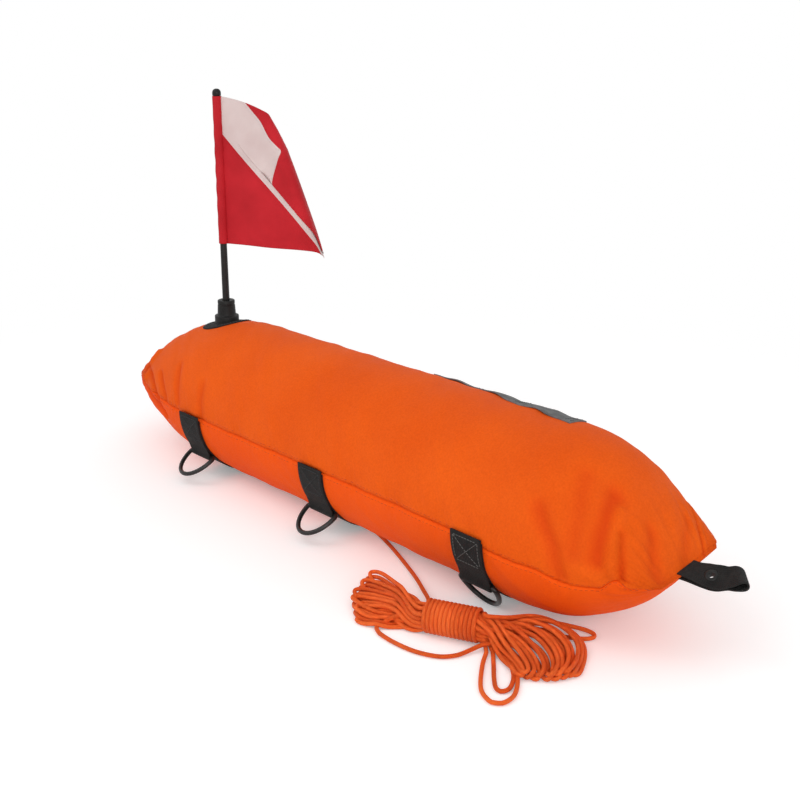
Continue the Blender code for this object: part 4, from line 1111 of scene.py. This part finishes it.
def ring_bar():
    """Place of a near ring's bar, with the ways towards the belly and outwards."""
    offset = SEAT_GAP + WEBBING + RING_WIRE / 2 + RING_CLEARANCE
    normal = Vector((-math.cos(BAR_ANGLE) / HALF_WIDTH, -math.sin(BAR_ANGLE) / BELLY_DROP))
    normal.normalize()
    return Vector(belly_point(BAR_ANGLE, offset)), Vector((-normal.y, normal.x)), normal


def strap_tab():
    """The sewn-over end of a strap as (y, z) places, down its face and round the ring's bar."""
    bar, tangent, outward = ring_bar()
    over = WEBBING * 1.5 + SEAT_GAP + 0.0001
    fold = RING_WIRE / 2 + RING_CLEARANCE + WEBBING / 2
    tab = [belly_point(math.radians(-1.4) + (BAR_ANGLE - math.radians(4.6)) * i / 12, over)
           for i in range(12)]
    for i in range(13):
        sweep = math.pi * (0.94 - 1.30 * i / 12)
        reach = fold if sweep > 0 else fold * 0.96
        tab.append(tuple(bar + tangent * reach * math.cos(sweep)
                         + outward * reach * math.sin(sweep)))
    return tab


def belly_strap(name, x):
    """One strap: the strip under the belly and its two sewn-over ends."""
    under = WEBBING / 2 + SEAT_GAP
    top = math.radians(1.5)
    flat = math.asin((SEAM_HEIGHT - WEBBING / 2) / (BELLY_DROP + under))
    half = [belly_point(top + (flat - top) * i / 22, under) for i in range(23)]
    half = [(y, max(z, WEBBING / 2)) for y, z in half]
    runs = [[(x, y, z) for y, z in half] + [(x, -y, z) for y, z in reversed(half)]]
    runs += [[(x, side * y, z) for y, z in strap_tab()] for side in (1, -1)]
    strips = [webbing_strip(f"{name}_strip_{i}", run, (1, 0, 0), WEBBING_WIDTH, WEBBING)
              for i, run in enumerate(runs)]
    dress(merged(name + "_strap_webbing", strips), "float", "black_webbing",
          name + "_belly_strap")


for strap_name, strap_x in STRAPS:
    belly_strap(strap_name, strap_x)

# %% Box stitching on the straps


def box_stitch(mesh, x, side):
    """A sewn rectangle with a cross, on a strap's upper end; each line is (side, row) twice."""
    rows = np.array(strap_tab()[1:9])
    normal = (rows - (0, SEAM_HEIGHT)) / (HALF_WIDTH, BELLY_DROP)
    normal /= np.linalg.norm(normal, axis=1)[:, None]
    rows = rows + normal * (WEBBING / 2 + 0.0001)
    inset = WEBBING_WIDTH / 2 - 0.0035
    count, last = np.arange(len(rows)), len(rows) - 1
    share = np.linspace(0, 1, 14)
    for start, first, end, second in ((-1, 0, 1, 0), (-1, last, 1, last), (-1, 0, -1, last),
                                      (1, 0, 1, last), (-1, 0, 1, last), (1, 0, -1, last)):
        at = first + (second - first) * share
        y, z = points_at(at, count, rows).T
        up_y, up_z = points_at(at, count, normal).T
        points = np.column_stack([x + inset * (start + (end - start) * share), side * y, z])
        ups = np.column_stack([0 * y, side * up_y, up_z])
        stitch_row(mesh, points, ups, *STRAP_STITCH)


pale_thread = thread_material("pale thread", (0.12, 0.12, 0.115))
for index, (strap_name, strap_x) in enumerate(STRAPS):
    box_thread = bmesh.new()
    for side in (1, -1):
        box_stitch(box_thread, strap_x, side)
    stitches(f"strap_box_stitches_{index}", box_thread,
             pale_thread if strap_name == "front" else black_thread, "black_webbing")

# %% [markdown]
# A D-ring is one bent wire with a dark coating.  Its centre line is a straight bar with two
# tight corners and a round bow, and a tube is run along it.

# %% D-rings
RING_DEPTH = 0.033
RING_CORNER = 0.0030
RING_SIDE_PLAY = 0.0008
RING_COAT = 0.0050
RING_DIP, FRONT_RING_DIP = math.radians(31), math.radians(124)


def ring_line():
    """Centre line in the ring's own plane: a corner, the round bow and the other corner."""
    half = WEBBING_WIDTH / 2 + RING_SIDE_PLAY + RING_WIRE / 2
    corner = [(half + RING_CORNER * (math.sin(angle) - 1), RING_CORNER * (math.cos(angle) - 1), 0)
              for angle in (math.pi / 12 * i for i in range(7))]
    bow = [(half * math.cos(angle),
            -RING_CORNER - (RING_DEPTH - RING_CORNER) * math.sin(angle), 0)
           for angle in (math.pi / 30 * i for i in range(1, 30))]
    return corner + bow + [(-x, y, z) for x, y, z in reversed(corner)]


ring_skin = clouded_material("coated ring wire", 0.36, (150, 5), (0.008, 0.008, 0.008),
                             (0.020, 0.019, 0.018), (420, 3, 0.0002, 0.35))
shader_of(ring_skin).inputs["Coat Weight"].default_value = 0.25
ring_place = ring_bar()[0]
for strap_name, strap_x in STRAPS:
    for side, side_name in ((1, "near"), (-1, "far")):
        body = f"{strap_name}_{side_name}_ring"
        dip = FRONT_RING_DIP if body == "front_near_ring" else RING_DIP
        turn = Matrix.Rotation(0 if side > 0 else math.pi, 3, "Z") @ Matrix.Rotation(dip, 3, "X")
        base = Vector((strap_x, side * ring_place.x, ring_place.y))
        ring = tube_mesh(body + "_wire", [base + turn @ Vector(point) for point in ring_line()],
                         RING_COAT / 2, ring_skin, resolution=5, cyclic=True)
        dress(ring, body, "coated_wire", body)
print("six rings,", len(ring.data.polygons), "faces each")

# %% [markdown]
# The flag stands on a moulded rubber socket that is welded to a round patch on the crown.
# The patch is cloth that follows the cover, with two rings of stitches.  The socket, the
# tapered rod and its end cap are turned round shapes, so a profile is spun round the staff.

# %% Patch
PATCH_RADIUS = 0.029
PATCH_CLOTH = 0.0008
PATCH_LIFT, PATCH_THREAD_LIFT = 0.0009, 0.0014
PATCH_ROWS = (0.0262, 0.0238)


def crown_places(radius, turn):
    """Places x and angles on the cover, round the foot of the staff."""
    x, y = MAST_X + radius * np.cos(turn), radius * np.sin(turn)
    return x, np.arccos(np.clip(y / girth(x)[0], -1, 1))


def patch_place(along, across):
    places = crown_places(PATCH_RADIUS * np.maximum(across, 0.02), 2 * math.pi * along)
    return cover_points(*places, PATCH_LIFT)


patch_skin = nylon_material("black patch cloth", (0.008, 0.008, 0.008), (0.022, 0.021, 0.020))
patch = mapped_grid("mast_patch_cloth", 64, 10, patch_place, (0.18, PATCH_RADIUS), patch_skin)
weld(patch, 0.00002,
     fills=lambda place: math.hypot(place.x - MAST_X, place.y) < PATCH_RADIUS / 2)
give_thickness(patch, PATCH_CLOTH)
dress(patch, "float", "black_patch", "mast_patch")
patch_rows = [crown_places(radius, np.linspace(0, 2 * math.pi, 90)) for radius in PATCH_ROWS]
cover_stitches("mast_patch_stitches", patch_rows, PATCH_THREAD_LIFT, PATCH_STITCH,
               black_thread, "black_patch")

# %% Socket, staff and cap
SOCKET_SEAT = 0.1717
SOCKET_TOP = 0.1972
STAFF_TIP = 0.4405


def raised(base, *points):
    """Profile points (radius, height over the base), given in tenths of a millimetre."""
    return [(radius, base + height) for radius, height in tenths(*points)]


def spun(name, profile, skin, centre_x, steps=40):
    """Turn a profile of (radius, height) once round a vertical line."""
    mesh = bmesh.new()
    verts = [mesh.verts.new((centre_x + radius, 0, height)) for radius, height in profile]
    edges = [mesh.edges.new(pair) for pair in zip(verts, verts[1:])]
    bmesh.ops.spin(mesh, geom=verts + edges, cent=(centre_x, 0, 0), axis=(0, 0, 1),
                   angle=2 * math.pi, steps=steps, use_merge=True)
    bmesh.ops.remove_doubles(mesh, verts=mesh.verts, dist=0.00001)
    bmesh.ops.recalc_face_normals(mesh, faces=mesh.faces)
    piece = object_from(mesh, name, skin)
    piece.data.set_sharp_from_angle(angle=math.radians(50))
    return piece


rubber, plastic = (
    clouded_material(name, roughness, (130, 5), low, high, (600, 3, 0.00012, 0.4),
                     (40, 4, 0.0004, 0.25))
    for name, low, high, roughness in (
        ("black rubber", (0.005, 0.005, 0.005), (0.013, 0.012, 0.011), 0.50),
        ("black plastic", (0.006, 0.006, 0.006), (0.016, 0.015, 0.014), 0.40)))
socket_profile = raised(SOCKET_SEAT, (45, 50)) + raised(
    SOCKET_TOP, (45, -5), (50, 0), (90, 0), (98, -3), (103, -10), (103, -42), (98, -46),
    (98, -56), (104, -60)) + raised(
    SOCKET_SEAT, (110, 85), (113, 74), (122, 69), (136, 68), (143, 64), (145, 56), (145, -16),
    (100, -16), (0, -10), (0, 50), (45, 50))
staff_profile = raised(SOCKET_SEAT, (0, 53), (40, 53), (42, 60)) + raised(
    SOCKET_TOP, (42, 68)) + tenths((40, 2600), (38, 3300), (36, 3900)) + raised(
    STAFF_TIP, (34, -4), (30, 0), (0, 0))
cap_profile = raised(STAFF_TIP, (0, 3), (37, 3), (37, -40), (47, -40), (50, -37), (50, -5),
                     (47, 8), (40, 22), (28, 32), (14, 37), (0, 38))
socket = spun("staff_socket_moulding", socket_profile, rubber, MAST_X, 64)
dress(socket, "float", "black_rubber", "staff_socket")
staff = spun("flag_staff_rod", staff_profile, plastic, MAST_X)
dress(staff, "staff", "black_plastic", "flag_staff")
cap = spun("staff_end_cap", cap_profile, plastic, MAST_X)
dress(cap, "staff", "black_plastic", "staff_cap")
print("socket, staff and cap:", sum(len(piece.data.polygons) for piece in (socket, staff, cap)),
      "faces")

# %% [markdown]
# The flag is three pieces of thin cloth sewn along the white stripe, hung from a sleeve
# round the staff.  It is not spread flat: past a slanting line it falls back behind itself,
# the top edge sags, and beyond the middle the red upper piece is folded over the stripe in
# one knife pleat, so that only a narrow band of the white shows.  One rule takes any place
# in the flat flag to its place in the air, and all three pieces use it, so their seams meet.

# %% How the flag hangs
FLAG_HOIST = 0.170
FLAG_FLY = 0.172
FLAG_FOOT = 0.2660
FLAG_YAW = math.radians(22)
STRIPE_DROP = 0.037
FOLD_TOP, FOLD_FOOT = 0.055, 0.118
FOLD_TURN = math.radians(112)
FOLD_LENGTH = 0.018
DROOP_SHARE = 0.30
PLEAT_LINE = -0.0192
PLEAT_TURN = 0.0016
DIAGONAL = np.array((FLAG_FLY, -FLAG_HOIST)) / math.hypot(FLAG_FLY, FLAG_HOIST)


def flag_fold(along, up):
    """Where the pleat puts a place of the flat flag: along, up and the layer's lift."""
    d = along * DIAGONAL[0] + (up - FLAG_HOIST) * DIAGONAL[1]
    w = -along * DIAGONAL[1] + (up - FLAG_HOIST) * DIAGONAL[0]
    depth = 0.0030 * ease((d - 0.050) / 0.030) + 0.0200 * ease((d - 0.094) / 0.026)
    first, second = PLEAT_LINE + depth, PLEAT_LINE + 2 * depth
    back = np.where(w > second, w - 2 * depth, np.where(w > first, 2 * first - w, w))
    layer = np.clip(depth / 0.004, 0, 1) * (
        ease((w - first) / PLEAT_TURN + 0.5) + ease((w - second) / PLEAT_TURN + 0.5))
    return (d * DIAGONAL[0] - back * DIAGONAL[1],
            FLAG_HOIST + d * DIAGONAL[1] + back * DIAGONAL[0], -0.0011 * layer)


def flag_points(along, up):
    out, high, lift = flag_fold(along, up)
    start = FOLD_TOP + (FOLD_FOOT - FOLD_TOP) * (1 - high / FLAG_HOIST)
    straight, past = np.minimum(out, start), np.maximum(out - start, 0)
    forward, back, turn = straight.copy(), 0 * past, 0 * past
    for i in range(16):
        turn = FOLD_TURN * ease(past * (i + 0.5) / 16 / FOLD_LENGTH)
        forward += np.cos(turn) * past / 16
        back += np.sin(turn) * past / 16
    droop = DROOP_SHARE * ease(past / FOLD_LENGTH)
    keep = np.sqrt(1 - droop ** 2)
    sag_reach = np.clip(out / 0.0745, 0, 1.15)
    sag = 0.0190 * sag_reach ** 1.6 * np.exp(-np.maximum(FLAG_HOIST - high, 0) / 0.030)
    wave = 0.0016 * np.clip(out / 0.06, 0, 1) * np.sin(2 * math.pi * (out / 0.085 + high / 0.19))
    lift = lift + wave
    x = straight + (forward - straight) * keep - np.sin(turn) * lift
    y = back * keep + np.cos(turn) * lift
    z = high - droop * past - sag
    cosine, sine = math.cos(FLAG_YAW), math.sin(FLAG_YAW)
    return np.column_stack([MAST_X + x * cosine - y * sine, x * sine + y * cosine, FLAG_FOOT + z])


# %% Flag cloth
SLEEVE_EDGE = 0.0055
SEAM_LINE, SEAM_HALF, SEAM_THREAD = 0.0263, 0.0028, 0.0006
FLAG_CLOTH, SLEEVE_CLOTH = 0.0004, 0.0005
FLAG_WEAVE = 0.0009
SLEEVE_RADIUS = 0.0050


def flag_material(name, low, high):
    """Thin cloth; its seams lie beside the stripe's two edges in the UV map."""
    skin = clouded_material(name, 0.70, (22, 5), low, high)
    raise_surface(skin, weave_value(skin, FLAG_WEAVE), 0.00012, 0.5)
    u, v = uv_parts(skin)
    down = calculate(skin, "SUBTRACT", v, FLAG_HOIST)
    across = calculate(skin, "ADD", calculate(skin, "MULTIPLY", u, float(-DIAGONAL[1])),
                       calculate(skin, "MULTIPLY", down, float(DIAGONAL[0])))
    for distance in (SEAM_LINE, SEAM_HALF):
        across = calculate(skin, "SUBTRACT", calculate(skin, "ABSOLUTE", across), distance)
    ridge = calculate(skin, "LESS_THAN", calculate(skin, "ABSOLUTE", across), SEAM_THREAD)
    raise_surface(skin, ridge, 0.0006, 0.6)
    roughen(skin, (30, 4, 0.0012, 0.35))
    return skin


flag_red = flag_material("red flag cloth", (0.40, 0.006, 0.012), (0.54, 0.013, 0.022))
flag_white = flag_material("white flag cloth", (0.60, 0.47, 0.455), (0.70, 0.59, 0.57))


def stripe_edge(up, side):
    return (FLAG_HOIST + side * STRIPE_DROP - up) * FLAG_FLY / FLAG_HOIST


def flag_piece(name, edges, foot, head, rows, skin, finish, node_name):
    """One piece of the flag; edges gives where it starts and ends at each height."""

    def flat_place(along, across):
        up = foot + (head - foot) * across
        start, end = edges(up)
        return start + (end - start) * along, up

    def place(along, across):
        return flag_points(*flat_place(along, across))

    cloth = mapped_grid(name, rows, rows, place, flat_place, skin)
    give_thickness(cloth, FLAG_CLOTH)
    dress(cloth, "flag", finish, node_name)
    print(name, len(cloth.data.polygons), "faces")


def sleeve_place(along, across):
    turn = 2 * math.pi * across
    height = FLAG_HOIST * along
    bulge = 0.0006 * np.maximum(np.cos(turn), 0) ** 6
    crease = 0.0003 * np.sin(height * 2 * math.pi / 0.021 + 2 * turn)
    radius = SLEEVE_RADIUS + bulge + crease * np.sin(math.pi * along)
    return np.column_stack([MAST_X + radius * np.cos(turn + FLAG_YAW),
                            radius * np.sin(turn + FLAG_YAW), FLAG_FOOT + height])


sleeve = mapped_grid("flag_sleeve_cloth", 110, 40, sleeve_place, (FLAG_HOIST, 0.032), flag_red)
weld(sleeve, 0.00001)
give_thickness(sleeve, SLEEVE_CLOTH)
dress(sleeve, "flag", "red_flag_cloth", "flag_sleeve")
flag_piece("flag_lower_red_cloth", lambda up: (SLEEVE_EDGE, stripe_edge(up, -1)),
           0, FLAG_HOIST - STRIPE_DROP - 0.0056, 110, flag_red, "red_flag_cloth",
           "flag_lower_red")
flag_piece("flag_white_cloth", lambda up: (np.maximum(stripe_edge(up, -1), SLEEVE_EDGE),
                                           np.minimum(stripe_edge(up, 1), FLAG_FLY)),
           0, FLAG_HOIST, 150, flag_white, "white_flag_cloth",
           "flag_white_stripe")
flag_piece("flag_upper_red_cloth", lambda up: (stripe_edge(up, 1), FLAG_FLY),
           STRIPE_DROP + 0.0004, FLAG_HOIST, 110, flag_red, "red_flag_cloth",
           "flag_upper_red")

# %% [markdown]
# Over the far side of the crown runs a flat webbing that is tacked down at four places and
# stands up a little between them, so that gear can be hooked to it.  From the nose end only
# its near edge shows.

# %% Gear strap
GEAR_TAIL_X, GEAR_NOSE_X = 0.050, 0.262
GEAR_LENGTH = 0.212
GEAR_WIDTH = 0.025
GEAR_THICKNESS = 0.0015
GEAR_BOWS = 3
GEAR_TACK = 0.012
GEAR_TACK_ROWS = (0.003, 0.009)
GEAR_LIFT = 0.0003
GEAR_RISE = 0.0012
gear_pitch = (GEAR_NOSE_X - GEAR_TAIL_X - GEAR_TACK) / GEAR_BOWS


def gear_angle(x, over):
    """Angle round the hull; over is the place across the strap, as a share of its width."""
    places = (0.05, 0.12, 0.150, 0.174, 0.195, 0.213, 0.230, 0.262)
    middle = np.radians(np.interp(x, places, (56, 62, 66, 73, 76.5, 74, 77.5, 79)))
    return middle + over * GEAR_WIDTH / HALF_WIDTH


def gear_place(along, across):
    x = GEAR_TAIL_X + (GEAR_NOSE_X - GEAR_TAIL_X) * along
    share = np.clip(((x - GEAR_TAIL_X) % gear_pitch - GEAR_TACK) / (gear_pitch - GEAR_TACK), 0, 1)
    rise = GEAR_RISE * np.sin(math.pi * share) ** 2
    rise = np.where(x > GEAR_NOSE_X - GEAR_TACK, 0, rise)
    return cover_points(x, gear_angle(x, across - 0.5), GEAR_LIFT + GEAR_THICKNESS / 2 + rise)


# The strap's grey is a painted sheen on black webbing.
gear = mapped_grid("gear_strap_webbing", 150, 14, gear_place, (GEAR_LENGTH, GEAR_WIDTH),
                   sheen_painted_web)
give_thickness(gear, GEAR_THICKNESS, 0.0, 0.0004)
dress(gear, "float", "grey_webbing", "gear_strap")
print("gear strap:", len(gear.data.polygons), "faces")
tack_lines = [np.full(30, GEAR_TAIL_X + i * gear_pitch + offset)
              for i in range(GEAR_BOWS + 1) for offset in GEAR_TACK_ROWS]
tack_rows = [(x, gear_angle(x, np.linspace(-0.44, 0.44, 30))) for x in tack_lines]
cover_stitches("gear_strap_tacks", tack_rows, GEAR_LIFT + GEAR_THICKNESS,
               GEAR_STITCH, black_thread, "grey_webbing")

# %% [markdown]
# The zip on the far side is a coil zip: two woven tapes, a row of small rounded teeth on
# each that lock into one another, a metal stop at each end, and a slider with its pull.  One
# tooth is a small flattened ball; it is repeated, so it has only a few faces.

# %% Zip
ZIP_HALF = 0.150
COIL_HALF = 0.1467
COIL_PITCH = 0.0015
ZIP_RADIUS = 0.0892
TAPE_FROM, TAPE_WIDTH, TAPE_FLAT_WIDTH = 0.0026, 0.0112, 0.011
TAPE_CLOTH = TAPE_LIFT = 0.0007
TOOTH_SIZE = (0.00052, 0.00150, 0.00105)
TOOTH_SHIFT, TOOTH_SIDE, TOOTH_HEIGHT = 0.00037, 0.00095, 0.0014
STAPLE_SIZE = (0.0030, 0.0052, 0.0030)
STAPLE_X, STAPLE_HEIGHT = 0.1485, 0.0018
ZIP_THREAD_HALF, ZIP_THREAD_LIFT = 0.148, 0.0011
ZIP_THREADS = (-0.0112, -0.0075, 0.0075, 0.0112)
zip_point = hull_points(np.array([0.0]), np.array([ZIP_ANGLE]))[0]
zip_up = Vector(hull_normals(np.array([0.0]), np.array([ZIP_ANGLE]))[0])
zip_side = zip_up.cross(Vector((1, 0, 0))).normalized()
zip_turn = Matrix((Vector((1, 0, 0)), zip_side, zip_up)).transposed()


def zip_frame(along, side, up):
    """Where a place on the zip lies, and how it is turned."""
    place = Vector(zip_point) + zip_turn @ Vector((along, side, up))
    return Matrix.Translation(place) @ zip_turn.to_4x4()


tape_skin = webbing_material("zip tape weave", (0.008, 0.008, 0.008), (0.024, 0.023, 0.023))
for name, side in (("zip_tape_upper", -1), ("zip_tape_lower", 1)):

    def tape_place(along, across, side=side):
        angle = ZIP_ANGLE - side * (TAPE_FROM + TAPE_WIDTH * across) / ZIP_RADIUS
        return cover_points(ZIP_HALF * (2 * along - 1), angle, TAPE_LIFT)

    tape = mapped_grid(name + "_cloth", 200, 8, tape_place, (2 * ZIP_HALF, TAPE_FLAT_WIDTH),
                       tape_skin)
    give_thickness(tape, TAPE_CLOTH)
    dress(tape, "float", "zip_tape", name)
teeth = bmesh.new()
count = int(2 * COIL_HALF / COIL_PITCH)
for i in range(count):
    along = COIL_HALF * (2 * (i + 0.5) / count - 1)
    for side in (-1, 1):
        tooth = bmesh.ops.create_uvsphere(teeth, u_segments=8, v_segments=5, radius=1)["verts"]
        size = Matrix.Diagonal((*TOOTH_SIZE, 1))
        place = zip_frame(along + side * TOOTH_SHIFT, side * TOOTH_SIDE, TOOTH_HEIGHT)
        bmesh.ops.transform(teeth, matrix=place @ size, verts=tooth)
bmesh.ops.recalc_face_normals(teeth, faces=teeth.faces)
coil = object_from(teeth, "zip_coil_teeth", plastic)
dress(coil, "float", "black_plastic", "zip_coil")
metal = clouded_material("dark zip metal", 0.36, (240, 4), (0.16, 0.16, 0.165),
                         (0.34, 0.34, 0.35), (900, 2, 0.0001, 0.4), metallic=1.0)
for name, side in (("zip_stop_tail", -1), ("zip_stop_nose", 1)):
    staple = bmesh.new()
    bmesh.ops.create_cube(staple, size=1)
    bmesh.ops.scale(staple, vec=STAPLE_SIZE, verts=staple.verts)
    bmesh.ops.bevel(staple, geom=staple.edges[:], offset=0.0007, segments=3, profile=0.5,
                    affect="EDGES", material=-1)
    bmesh.ops.transform(staple, matrix=zip_frame(side * STAPLE_X, 0, STAPLE_HEIGHT),
                        verts=staple.verts)
    dress(object_from(staple, name + "_staple", metal), "float", "dark_metal", name)
paint(metal, "zip_slider", "zip_pull")
zip_line = np.linspace(-ZIP_THREAD_HALF, ZIP_THREAD_HALF, 200)
zip_rows = [(zip_line, np.full(200, ZIP_ANGLE - offset / ZIP_RADIUS))
            for offset in ZIP_THREADS]
cover_stitches("zip_tape_stitches", zip_rows, ZIP_THREAD_LIFT, ZIP_STITCH, black_thread,
               "zip_tape")
print("zip:", len(coil.data.polygons), "faces in its teeth")

# %% [markdown]
# The tow loop is a short piece of webbing folded over on itself.  Both its ends are sewn to
# the nose seam, and it is twisted along its length, so its face and its eyelet turn towards
# the near side while the folded end stands open as an eye.

# %% Tow loop
TOW_WIDTH = 0.025
TOW_LENGTH = 0.050
TOW_ROOT = NOSE_X - 0.0042
TOW_EYE = 0.0038
TOW_SWING, TOW_LIFT = 0.17, 0.0062
TOW_EYELET = 0.0195
TOW_TURNS = ((0.0, (0.0, 0.98, 0.17)), (0.5, (-0.36, 0.78, 0.50)), (0.72, (-0.50, 0.80, 0.30)),
             (1.0, (-0.64, 0.76, -0.02)))
TOW_THICKNESS = 0.0015
TOW_ROOT_HALF, TOW_HALF = 0.0020, 0.0010
EYELET_FACE = 0.0019
EYELET_HOLE, EYELET_BORE = 0.0040, 0.0026


def tow_axis(x):
    """Centre line of the loop, the way its width lies and the way its face looks."""
    past = max(x - NOSE_X, 0)
    lift = TOW_LIFT * float(ease((past - 0.018) / 0.030))
    middle = Vector((x, TOW_SWING * past, SEAM_HEIGHT + lift))
    share = min(past / TOW_LENGTH, 1)
    for (here, low), (there, high) in zip(TOW_TURNS, TOW_TURNS[1:]):
        if share <= there:
            part = float(ease((share - here) / (there - here)))
            across = Vector(low).lerp(Vector(high), part).normalized()
            break
    normal = Vector((1, TOW_SWING, 0)).cross(across).normalized()
    return middle, across, normal


def tow_line():
    """The webbing's run: out along the upper layer, round the eye and back below."""
    end = NOSE_X + TOW_LENGTH - TOW_EYE - 0.0008
    start = end - 0.014
    places = [(TOW_ROOT + (NOSE_X - TOW_ROOT) * i / 4, TOW_ROOT_HALF) for i in range(4)]
    narrowing = TOW_ROOT_HALF - TOW_HALF
    places += [(NOSE_X + (start - NOSE_X) * i / 16, TOW_ROOT_HALF - narrowing * i / 16)
               for i in range(16)]
    places += [(start + (end - start) * i / 8,
                TOW_HALF + (TOW_EYE - TOW_HALF) * float(ease(i / 8))) for i in range(8)]
    places += [(end + TOW_EYE * math.sin(math.pi * i / 24), TOW_EYE * math.cos(math.pi * i / 24))
               for i in range(13)]
    return places + [(x, -height) for x, height in reversed(places[:-1])]


tow_points, tow_across = [], []
for x, height in tow_line():
    middle, across, normal = tow_axis(x)
    tow_points.append(middle + normal * height)
    tow_across.append(across)
tow = merged("tow_loop_webbing", [
    webbing_strip("tow_strip", tow_points, tow_across, TOW_WIDTH, TOW_THICKNESS,
                  rows=10)])
middle, across, normal = tow_axis(NOSE_X + TOW_EYELET)
eyelet_turn = Matrix((across.cross(normal), across, normal)).transposed().to_4x4()
eyelet_place = Matrix.Translation(middle) @ eyelet_turn
punch = bmesh.new()
bmesh.ops.create_cone(punch, cap_ends=True, segments=32, radius1=EYELET_HOLE,
                      radius2=EYELET_HOLE, depth=0.02)
bmesh.ops.transform(punch, matrix=eyelet_place, verts=punch.verts)
puncher = object_from(punch, "eyelet_punch", black_web)
hole = tow.modifiers.new("eyelet hole", "BOOLEAN")
hole.object = puncher
hole.solver = "EXACT"
bpy.context.view_layer.update()
graph = bpy.context.evaluated_depsgraph_get()
punched = bpy.data.meshes.new_from_object(tow.evaluated_get(graph))
tow.modifiers.clear()
tow.data = punched
bpy.data.objects.remove(puncher, do_unlink=True)
dress(tow, "float", "black_webbing", "tow_loop")
rim = raised(EYELET_FACE, (27, 9), (35, 13), (46, 14), (55, 10), (60, 4), (60, 0), (39, 0))
rim += [(radius, -height) for radius, height in reversed(rim)] + [(EYELET_BORE, 0.0), rim[0]]
eyelet = spun("tow_eyelet_ring", rim, plastic, 0)
eyelet.data.transform(eyelet_place)
dress(eyelet, "float", "black_plastic", "tow_eyelet")
print("tow loop:", len(tow.data.polygons), "faces")
